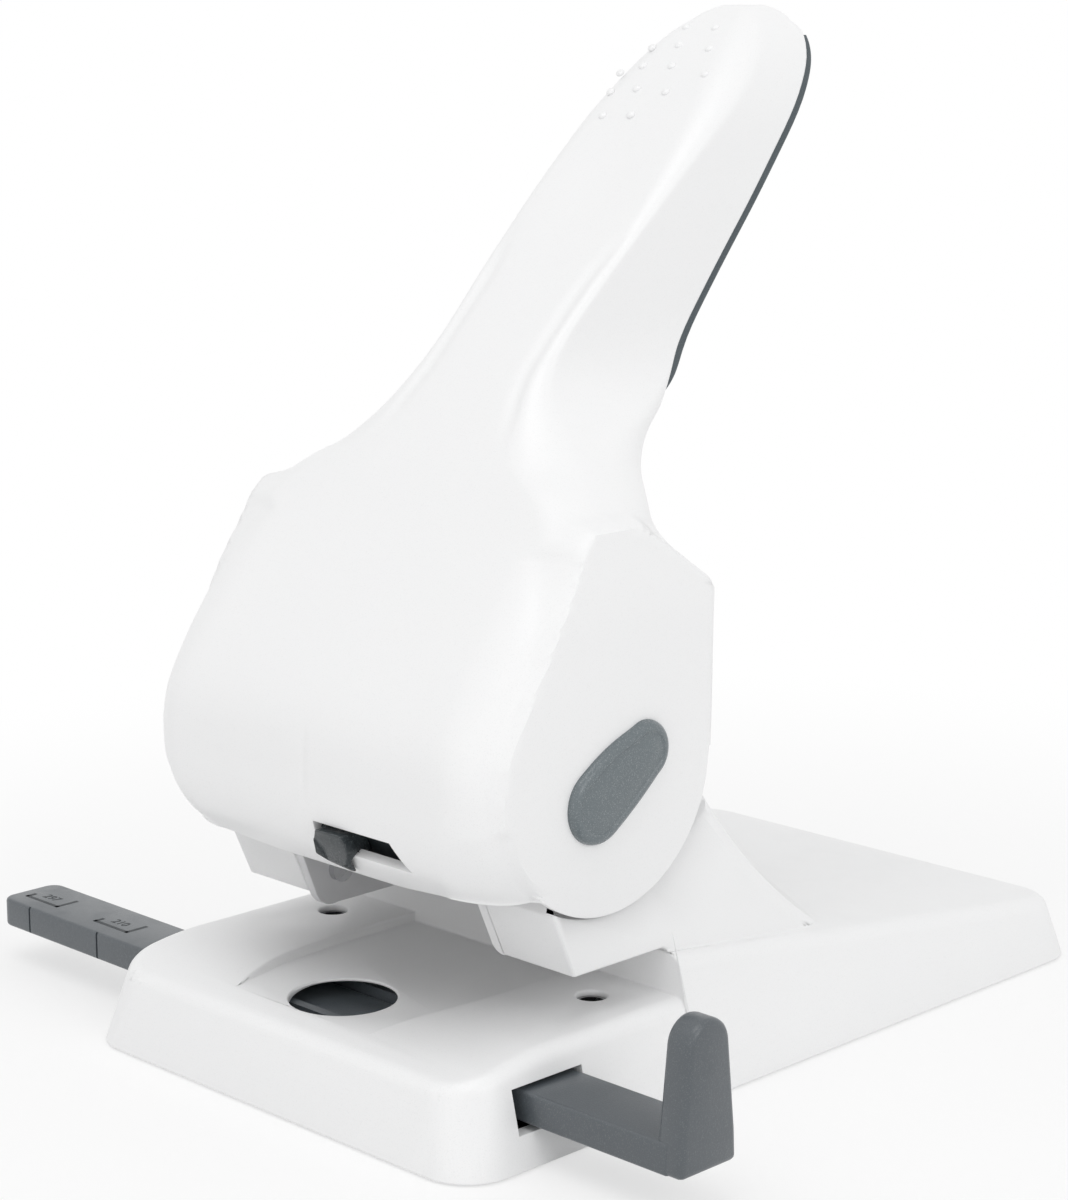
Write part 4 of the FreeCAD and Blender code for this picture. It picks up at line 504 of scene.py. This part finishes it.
def reading(table, height):
    """The value at a height, from points joined by smooth curves that don't overshoot."""
    if height <= table[0][0]:
        return table[0][1]
    if height >= table[-1][0]:
        return table[-1][1]
    rises = [(b[1] - a[1]) / (b[0] - a[0]) for a, b in zip(table, table[1:])]
    low = max(index for index, point in enumerate(table) if point[0] <= height and index < len(table) - 1)

    def lean(index):
        """Slope of the curve at one of the table's points, level where the table turns."""
        if index == 0 or index == len(rises):
            return rises[min(index, len(rises) - 1)]
        before, after = rises[index - 1], rises[index]
        return 0.0 if before * after <= 0 else 2 * before * after / (before + after)

    span = table[low + 1][0] - table[low][0]
    share = (height - table[low][0]) / span
    return ((2 * share ** 3 - 3 * share ** 2 + 1) * table[low][1]
            + (share ** 3 - 2 * share ** 2 + share) * span * lean(low)
            + (3 * share ** 2 - 2 * share ** 3) * table[low + 1][1]
            + (share ** 3 - share ** 2) * span * lean(low + 1))


def ease_in(share):
    """Smooth step from 0 to 1."""
    share = min(1.0, max(0.0, share))
    return share * share * (3 - 2 * share)


known = {}


def eased(table, height):
    """A reading averaged over a few millimetres, so that the moulding has no ripples."""
    key = (id(table), round(height, 2))
    if key not in known:
        reach = min(3.5, height - table[0][0], table[-1][0] - height)
        reach = max(reach, 0.0)
        known[key] = sum(reading(table, height + reach * step / 2) for step in (-2, -1, 0, 1, 2)) / 5
    return known[key]


def lower_edge(x, y):
    """Height of the cover's free lower edge: the shield's hem, then the ear's round lobe."""
    if y < HEM_END:
        return HEM_LOW + HEM_SIDE_RISE * ease_in((x - 16) / 22) + HEM_EAR_RISE * ease_in((y + 33) / 7.3)
    return PIVOT_Z - math.sqrt(max(0.0, LOBE_RADIUS ** 2 - (min(y, EAR_REAR) - PIVOT_Y) ** 2))


front_columns = [("front", (step / 24) ** 1.3) for step in range(25)]
corner_columns = [("corner", math.radians(5 * step)) for step in range(1, 19)]
side_columns = [("side", step / 64) for step in range(1, 64)] + [("side", 0.992), ("side", 1.0)]
rear_corner_columns = [("rear_corner", math.radians(90 * step / 24)) for step in range(1, 25)]
rear_columns = [("rear", step / 10) for step in range(1, 11)]
columns = front_columns + corner_columns + side_columns + rear_corner_columns + rear_columns
SIDE_END = len(front_columns) + len(corner_columns) + len(side_columns) - 1


def across(kind, share, z):
    """Place (x, y) of one column of the section at a height."""
    held = z  # towards the ears the front stays upright near the hem
    if kind == "corner":
        held = max(z, 49.2 + 0.8 * share / math.radians(90))
    elif kind != "front":
        held = max(z, 50.0)
    half, front, rear = eased(HALF_WIDTH, z), eased(FRONT_Y, held), eased(REAR_Y, z)
    rear -= reading(GRIP_DEPTH, z)
    turn, wide, long = eased(FRONT_ROUND, held), eased(REAR_ACROSS, z), eased(REAR_ALONG, z)
    if z <= OPEN_TOP:
        rear, wide, long = EAR_TOP_REAR - EAR_REAR_LEAN * (OPEN_TOP - z), EAR_REAR_ROUND, EAR_REAR_ROUND
    turn = min(turn, max(0.22 * (rear - front), rear - front - long / 0.97))
    wide, long = min(wide, 0.95 * half), min(long, 0.97 * (rear - front - turn))
    if kind == "front":
        return (half - turn) * share, front
    if kind == "corner":
        return half - turn + turn * math.sin(share), front + turn * (1 - math.cos(share))
    if kind == "side":
        return half, front + turn + (rear - long - front - turn) * share
    if kind == "rear_corner":
        return half - wide * (1 - math.cos(share)), rear - long + long * math.sin(share)
    return (half - wide) * (1 - share), rear


# The section's columns, left and right, are hung on a grid of levels: the lower rows are shares of
# the height from the free edge up to the open back's top, the upper rows are heights.
low_shares = [0, 0.006, 0.014, 0.026] + [0.042 + 0.958 * step / 62 for step in range(63)]
high_levels = [104 + 0.95 * step for step in range(1, 22)] + [124 + 1.3 * step for step in range(1, 21)]
high_levels += [150 + 2.3 * step for step in range(1, 24)]
high_levels += [204.8, 206.6, 208.4, 210, 211.5, 212.9, 214.2, 215.3, 216.3, 217.2, 217.9, 218.5, 219,
                219.4, 219.7]
turns, rows = 2 * (len(columns) - 1), len(low_shares) + len(high_levels)
cover = bmesh.new()
bmesh.ops.create_grid(cover, x_segments=turns, y_segments=rows - 1, size=1.0)
free_low = set()
for vert in cover.verts:
    column = round((vert.co.x + 1) / 2 * turns) - turns // 2
    row = round((vert.co.y + 1) / 2 * (rows - 1))
    kind, share = columns[abs(column)]
    if row < len(low_shares):
        bottom = HEM_LOW
        if abs(column) <= SIDE_END:
            for _ in range(8):
                bottom = lower_edge(*across(kind, share, bottom))
        z = bottom + low_shares[row] * (OPEN_TOP - bottom)
        if abs(column) > SIDE_END and row < len(low_shares) - 1:
            free_low.add(vert)
    else:
        z = high_levels[row - len(low_shares)]
    x, y = across(kind, share, z)
    vert.co = at(math.copysign(x, column), y, z)
bmesh.ops.delete(cover, geom=list(free_low), context="VERTS")
bmesh.ops.remove_doubles(cover, verts=cover.verts, dist=0.00001)

# Ear faces: flat panels that stand a little proud of the cover's sides behind a soft border.
EAR_BORDER = [(25.5, 104), (23.6, 107), (18.8, 110.7), (12.8, 115.2), (5.4, 120.1), (-2.5, 121.3),
              (-10.2, 121.1), (-14.4, 117), (-17.2, 111.5), (-21.3, 104.3), (-25.4, 96), (-29.5, 89.8),
              (-32.8, 83.4), (-35.5, 78), (-36.8, 71.3), (-36.6, 65.3)]
for turn in range(196, 230, 5):
    EAR_BORDER.append((PIVOT_Y + LOBE_RADIUS * math.cos(math.radians(turn)),
                       PIVOT_Z + LOBE_RADIUS * math.sin(math.radians(turn))))
EAR_REGION = EAR_BORDER + [(-24, 30), (45, 30), (45, 104)]


def inside_ear(y, z):
    """Distance inside the ear's border, negative outside it."""
    within = False
    for (ay, az), (by, bz) in zip(EAR_REGION, EAR_REGION[1:] + EAR_REGION[:1]):
        if (az > z) != (bz > z) and y < ay + (z - az) * (by - ay) / (bz - az):
            within = not within
    nearest = 99.0
    for (ay, az), (by, bz) in zip(EAR_BORDER, EAR_BORDER[1:]):
        run = (by - ay) ** 2 + (bz - az) ** 2
        share = min(1.0, max(0.0, ((y - ay) * (by - ay) + (z - az) * (bz - az)) / run))
        nearest = min(nearest, math.hypot(y - ay - share * (by - ay), z - az - share * (bz - az)))
    return nearest if within else -nearest


EAR_FACE, EAR_TOP_FALL, EAR_REACH = 51.6, 1.6, 8
for vert in cover.verts:
    x, y, z = in_mm(vert.co)
    if abs(x) > 30 and y > -44 and z < 126:
        depth = inside_ear(y, z)
        if depth > -EAR_REACH:
            panel = EAR_FACE - EAR_TOP_FALL * ease_in((z - 100) / 24)
            fullness = 0.4 * ease_in((114 - z) / 18)
            drawn_out = fullness * ease_in((depth + EAR_REACH) / EAR_REACH) * ease_in((abs(x) - 37) / 11)
            drawn_out += (1 - fullness) * ease_in((depth + 0.6) / (2.4 - 1.6 * fullness))
            drawn_out *= ease_in((25.4 - y) / 3.2)
            vert.co.x = math.copysign(abs(x) + max(0.0, panel - abs(x)) * drawn_out, x) / 1000

# Thumb rest: two soft valleys beside the handle's front ridges, and a shallow dish for the thumb.
# A shallow groove runs up the middle of the shield above the lock.
VALLEY_X = [(126, 19.5), (131, 18.2), (137, 16.6), (147, 13.9), (162, 13.9), (172, 16.5), (176, 17.2)]
VALLEY_DEPTH, VALLEY_WIDTH, DISH_DEPTH, DISH_HEIGHT = 0.95, 1.7, 0.9, 184
for vert in cover.verts:
    x, y, z = in_mm(vert.co)
    if z > 122 and y < eased(FRONT_Y, z) + 4:
        fade = ease_in((z - 131) / 10) * ease_in((178 - z) / 14)
        sink = VALLEY_DEPTH * fade * math.exp(-((abs(x) - reading(VALLEY_X, z)) / VALLEY_WIDTH) ** 2)
        sink += DISH_DEPTH * math.exp(-((z - DISH_HEIGHT) / 11) ** 2 - (x / 10) ** 2)
        vert.co.y += sink / 1000
    if 60 < z < 80 and abs(x) < 3 and y < -30:
        fade = ease_in((z - 61.7) / 2) * ease_in((78.4 - z) / 3)
        vert.co.y += 0.3 * fade * math.exp(-((x - 0.5) / 0.55) ** 2) / 1000

# Slot of the lock, cut through the shield with a slanting right end.
SLOT_LEFT, SLOT_RIGHT, SLOT_SLANT, SLOT_LOW, SLOT_HIGH = 2.5, 29.2, 3.4, 53.4, 59.2


def near_slot(face):
    """Whether a face lies about the slot, on the shield."""
    middle = face.calc_center_median() * 1000
    return -2 < middle.x < 33 and 50 < middle.z < 62 and middle.y - HOLE_LINE < -30


slot_cuts = [(at(SLOT_LEFT, 0, 0), (1, 0, 0)), (at(SLOT_RIGHT, 0, SLOT_LOW), (1, 0, SLOT_SLANT / 5.0)),
             (at(0, 0, SLOT_LOW), (0, 0, 1)), (at(0, 0, SLOT_HIGH), (0, 0, 1))]
for place, normal in slot_cuts:
    cut_across(cover, [face for face in cover.faces if near_slot(face)], place, normal, 0.0000001)


def in_slot(face):
    """Whether a face lies between the four cuts of the slot."""
    middle = face.calc_center_median()
    beyond = [(middle - place).dot(Vector(normal)) for place, normal in slot_cuts]
    return near_slot(face) and beyond[0] > 0 and beyond[1] < 0 and beyond[2] > 0 and beyond[3] < 0


bmesh.ops.delete(cover, geom=[face for face in cover.faces if in_slot(face)], context="FACES")
top_edges = [edge for edge in cover.edges
             if edge.is_boundary and min(vert.co.z for vert in edge.verts) > 0.2196]
bmesh.ops.edgeloop_fill(cover, edges=top_edges)
bmesh.ops.recalc_face_normals(cover, faces=cover.faces)
outward = next(face for face in cover.faces if face.calc_center_median().x > 0.0495)
if outward.normal.x < 0:
    bmesh.ops.reverse_faces(cover, faces=cover.faces)
lever_cover = piece_from(cover, "lever_cover", white_abs, "lever", "white_plastic", "lever_shell")
wall = lever_cover.modifiers.new("wall", "SOLIDIFY")
wall.thickness = 0.002
wall.offset = -1.0
rims = lever_cover.modifiers.new("rims", "BEVEL")
rims.width = 0.0005
rims.segments = 2
rims.angle_limit = math.radians(55)

# Raised nubs of the thumb rest, moulded in one with the cover.
NUB_RADIUS = 1.0
nubs = bmesh.new()
NUB_PLACES = [(-11.3, 196), (-3.2, 196.3), (-13.8, 201), (-6.6, 201.7), (2.4, 201.2), (-14.9, 205),
              (-9.6, 206.5), (-1.1, 206.6), (10, 205), (-11, 210.4), (-3.6, 211), (5.9, 210.3),
              (-6.2, 214.9), (2.6, 214.7)]
for x, z in NUB_PLACES:
    dome = bmesh.ops.create_uvsphere(nubs, u_segments=16, v_segments=10, radius=NUB_RADIUS / 1000)["verts"]
    slope = math.atan2(eased(FRONT_Y, z + 0.5) - eased(FRONT_Y, z - 0.5), 1.0)
    face_on = Matrix.Rotation(math.pi / 2 - slope, 4, "X") @ Matrix.Diagonal((1, 1, 0.6, 1))
    bmesh.ops.transform(nubs, matrix=Matrix.Translation(at(x, eased(FRONT_Y, z), z)) @ face_on, verts=dome)
piece_from(nubs, "thumb_nubs", white_abs, "lever", "white_plastic")


# Handle grip. A thin rubber strip moulded onto the back of the handle, flush with its sides and
# feathered out at both ends.
GRIP_BEDDING, GRIP_PROUD = 0.8, 0.05
grip = bmesh.new()
grip_columns = [("inner", step / 8) for step in range(9)] + [("wall", step / 3) for step in range(1, 3)]
grip_columns += [("turn", math.radians(18 * step)) for step in range(6)]
grip_columns += [("outer", step / 12) for step in range(1, 13)]
grip_turns = 2 * (len(grip_columns) - 1)
grip_levels = [136.7 + 0.9 * step for step in range(12)] + [147.5 + 2.6 * step for step in range(21)]
grip_levels += [201.5 + 0.9 * step for step in range(14)]
bmesh.ops.create_grid(grip, x_segments=grip_turns, y_segments=len(grip_levels) - 1, size=1.0)
for vert in grip.verts:
    column = round((vert.co.x + 1) / 2 * grip_turns) - grip_turns // 2
    z = grip_levels[round((vert.co.y + 1) / 2 * (len(grip_levels) - 1))]
    kind, share = grip_columns[abs(column)]
    depth = reading(GRIP_DEPTH, z)
    half, rear = eased(HALF_WIDTH, z) - max(0.0, eased(REAR_ACROSS, z) - 1.0), eased(REAR_Y, z)
    turn = min(1.1, 0.1 + 0.5 * depth)
    inner = rear - depth - GRIP_BEDDING
    if kind == "inner":
        x, y = (half - 0.3) * share, inner
    elif kind == "wall":
        x, y = half + GRIP_PROUD, inner + (rear - turn - inner) * share
    elif kind == "turn":
        x, y = half + GRIP_PROUD - turn * (1 - math.cos(share)), rear - turn + turn * math.sin(share)
    else:
        x, y = (half + GRIP_PROUD - turn) * (1 - share), rear
    vert.co = at(math.copysign(x, column), y, z)
bmesh.ops.remove_doubles(grip, verts=grip.verts, dist=0.00001)
bmesh.ops.holes_fill(grip, edges=grip.edges)
bmesh.ops.recalc_face_normals(grip, faces=grip.faces)
grip_rubber = moulding("grip_rubber", (0.07, 0.088, 0.098), (0.055, 0.07, 0.08), (0.1, 0.12, 0.13),
                       0.5, 0.66, 1800, 0.0001)
piece_from(grip, "handle_grip_strip", grip_rubber, "lever", "slate_rubber", "handle_grip")


# Pivot caps. Slate mouldings pressed into the ears over the axle's ends: a tilted oval, wider at
# its lower end, with a rounded edge and a slightly crowned face.
CAP_LOW, CAP_HIGH = (-11.2, 66.0, 7.9), (2.6, 74.6, 6.3)
CAP_SEAT, CAP_THICK, CAP_ROUND = 51.2, 2.3, 1.8
CAP_FACE_STEPS = ((2.0, 0.0), (0.35, -0.25), (0.5, 0.0), (1.2, 0.25), (1.1, 0.13), (1.1, 0.05))
cap_abs = moulding("cap_abs", (0.158, 0.187, 0.2), (0.125, 0.148, 0.158), (0.26, 0.28, 0.29),
                   0.22, 0.34, 2200, 0.00007)
for side, sign in (("left", -1), ("right", 1)):
    cap = bmesh.new()
    outline = bmesh.ops.create_circle(cap, segments=96, radius=1.0, cap_ends=False)["verts"]
    for vert in outline:
        toward = Vector((vert.co.x, vert.co.y)).normalized()
        y, z, radius = max((CAP_LOW, CAP_HIGH),
                           key=lambda end: end[0] * toward.x + end[1] * toward.y + end[2])
        vert.co = at(CAP_SEAT * sign, y + radius * toward.x, z + radius * toward.y)
    flanks = [edge for edge in cap.edges if edge.calc_length() > 0.004]
    bmesh.ops.subdivide_edges(cap, edges=flanks, cuts=14)
    low_end, high_end = at(CAP_SEAT * sign, *CAP_LOW[:2]), at(CAP_SEAT * sign, *CAP_HIGH[:2])
    along = (high_end - low_end).normalized()
    for vert in cap.verts:
        run = (vert.co - low_end).dot(along)
        share = run / (high_end - low_end).length
        if 0 < share < 1:
            away = (vert.co - low_end - along * run).normalized()
            fullness = 0.0007 if away.z > 0 else 0.0003
            vert.co += away * fullness * math.sin(math.pi * share)
    bmesh.ops.edgeloop_fill(cap, edges=cap.edges[:])
    grown = bmesh.ops.extrude_face_region(cap, geom=cap.faces[:])["geom"]
    front_verts = [part for part in grown if isinstance(part, bmesh.types.BMVert)]
    bmesh.ops.translate(cap, vec=(CAP_THICK / 1000 * sign, 0, 0), verts=front_verts)
    face = next(part for part in cap.faces if all(vert in front_verts for vert in part.verts))
    for thickness, lift in CAP_FACE_STEPS:
        bmesh.ops.inset_region(cap, faces=[face], thickness=thickness / 1000, depth=0.0)
        bmesh.ops.translate(cap, vec=(lift * sign / 1000, 0, 0), verts=face.verts)
    bmesh.ops.recalc_face_normals(cap, faces=cap.faces)
    front_x = (CAP_SEAT + CAP_THICK) / 1000 * sign
    rim = [edge for edge in cap.edges
           if all(abs(vert.co.x - front_x) < 0.00001 for vert in edge.verts) and edge.calc_face_angle(0) > 1]
    bmesh.ops.bevel(cap, geom=rim, offset=CAP_ROUND / 1000, offset_type="OFFSET", affect="EDGES", segments=6,
                    profile=0.5, material=-1)
    piece_from(cap, "pivot_cover_" + side, cap_abs, "lever", "slate_plastic", "pivot_cap_" + side)


# Lock. A faceted slate thumb piece on a steel tongue that slides in the shield's slot. Pushed
# across with the lever down, the tongue catches under the frame's plate.
knob_abs = moulding("knob_abs", (0.04, 0.048, 0.052), (0.028, 0.034, 0.038), (0.09, 0.1, 0.105),
                    0.2, 0.34, 2200, 0.00006)
KNOB_LOWER_SHIFT = Vector((0, -0.0034, -0.0007))
knob = merged_copy("lock_knob")
for vert in knob.verts:
    _, y, z = in_mm(vert.co)
    if y < -40.5:
        vert.co += KNOB_LOWER_SHIFT * ease_in((56.0 - z) / 7.0)
soften(knob, 0.45, 20)
bmesh.ops.recalc_face_normals(knob, faces=knob.faces)
piece_from(knob, "lock_thumb_piece", knob_abs, "lock", "slate_plastic", "lock_knob")
# The steel tongue takes the near-black engraving colour as painted shade: it darkens the inside of the slot
# behind the thumb piece.
finish_node("lock_tongue", engraving)


# Floor. A plain pale studio sweep; seen directly it is as white as the paper behind the punch.
def whiter_for_the_lens(tree, links, shown):
    """Mixes a second shader in for rays from the lens, straight or by a reflection, and gives the share."""
    seen = tree.new("ShaderNodeLightPath")
    most = tree.new("ShaderNodeMath")
    most.operation = "MAXIMUM"
    either = tree.new("ShaderNodeMath")
    either.operation = "MAXIMUM"
    share = tree.new("ShaderNodeMath")
    share.operation = "MULTIPLY"
    share.inputs[1].default_value = 1.0
    links.new(seen.outputs["Is Camera Ray"], most.inputs[0])
    links.new(seen.outputs["Is Glossy Ray"], most.inputs[1])
    links.new(most.outputs["Value"], either.inputs[0])
    links.new(seen.outputs["Is Transmission Ray"], either.inputs[1])
    links.new(either.outputs["Value"], share.inputs[0])
    blend = tree.new("ShaderNodeMixShader")
    links.new(share.outputs["Value"], blend.inputs["Fac"])
    links.new(shown.outputs[0], blend.inputs[1])
    return blend, share


floor_mesh = bmesh.new()
bmesh.ops.create_grid(floor_mesh, x_segments=1, y_segments=1, size=4.0)
floor_data = bpy.data.meshes.new("floor")
floor_mesh.to_mesh(floor_data)
floor_mesh.free()
floor = bpy.data.objects.new("floor", floor_data)
bpy.context.collection.objects.link(floor)
floor_paint = bpy.data.materials.new("floor_paint")
floor_paint.use_nodes = True
floor_tree, floor_links = floor_paint.node_tree.nodes, floor_paint.node_tree.links
paint = floor_tree["Principled BSDF"]
paint.inputs["Base Color"].default_value = (0.93, 0.93, 0.93, 1)
paint.inputs["Roughness"].default_value = 0.9
paint.inputs["Specular IOR Level"].default_value = 0.1
glow = floor_tree.new("ShaderNodeEmission")
glow.inputs["Strength"].default_value = 1.0
floor_blend, floor_share = whiter_for_the_lens(floor_tree, floor_links, paint)
spot = floor_tree.new("ShaderNodeTexCoord")
spot_length = floor_tree.new("ShaderNodeVectorMath")
spot_length.operation = "LENGTH"
spot_fade = floor_tree.new("ShaderNodeMapRange")
spot_fade.interpolation_type = "SMOOTHSTEP"
spot_fade.inputs["From Min"].default_value = 0.13
spot_fade.inputs["From Max"].default_value = 0.34
spot_fade.inputs["To Min"].default_value = 0.6
spot_fade.inputs["To Max"].default_value = 1.0
floor_links.new(spot.outputs["Object"], spot_length.inputs[0])
floor_links.new(spot_length.outputs["Value"], spot_fade.inputs["Value"])
floor_links.new(spot_fade.outputs["Result"], floor_share.inputs[1])
floor_links.new(glow.outputs["Emission"], floor_blend.inputs[2])
floor_links.new(floor_blend.outputs["Shader"], floor_tree["Material Output"].inputs["Surface"])
floor.data.materials.append(floor_paint)


# Lamps. Broad soft boxes, the strongest from the right and from above and two weak ones from the
# front, with an even white room around them.
def soft_box(name, place, aim, width, power):
    """An area lamp at a place, turned towards a point."""
    lamp_data = bpy.data.lights.new(name, "AREA")
    lamp_data.size = width
    lamp_data.energy = power
    lamp = bpy.data.objects.new(name, lamp_data)
    lamp.location = place
    lamp.rotation_euler = (Vector(aim) - Vector(place)).to_track_quat("-Z", "Y").to_euler()
    bpy.context.collection.objects.link(lamp)


soft_box("key_box", (-0.7, -0.9, 1.2), (0, 0, 0.08), 0.35, 0.25)
soft_box("side_box", (1.3, -0.2, 0.8), (0, 0, 0.08), 0.8, 3.4)
soft_box("top_box", (0.1, -0.5, 1.5), (0, -0.02, 0.03), 0.9, 4.0)
soft_box("low_box", (0.15, -1.0, 0.5), (0, -0.05, 0.03), 0.7, 0.45)
world = bpy.data.worlds.new("studio")
world.use_nodes = True
bpy.context.scene.world = world
world_tree, world_links = world.node_tree.nodes, world.node_tree.links
sky = world_tree["Background"]
sky.inputs["Color"].default_value = (1, 1, 1, 1)
sky.inputs["Strength"].default_value = 0.745
backdrop = world_tree.new("ShaderNodeBackground")
backdrop.inputs["Color"].default_value = (1, 1, 1, 1)
sky_blend, _ = whiter_for_the_lens(world_tree, world_links, sky)
world_links.new(backdrop.outputs["Background"], sky_blend.inputs[2])
world_links.new(sky_blend.outputs["Shader"], world_tree["World Output"].inputs["Surface"])


# Camera. Placed as the photograph was taken, from the front right and a little above.
camera_data = bpy.data.cameras.new("camera")
camera_data.lens = 84.4
camera_data.sensor_width = 36.0
camera_data.clip_start = 0.02
camera = bpy.data.objects.new("camera", camera_data)
camera_place = Vector((0.4177, -0.4418, 0.21596))
camera_aim = Vector((0.01277, -0.03584, 0.09818))
camera.location = camera_place
camera.rotation_euler = (camera_aim - camera_place).to_track_quat("-Z", "Y").to_euler()
bpy.context.collection.objects.link(camera)
bpy.context.scene.camera = camera
bpy.context.scene.view_settings.view_transform = "Standard"
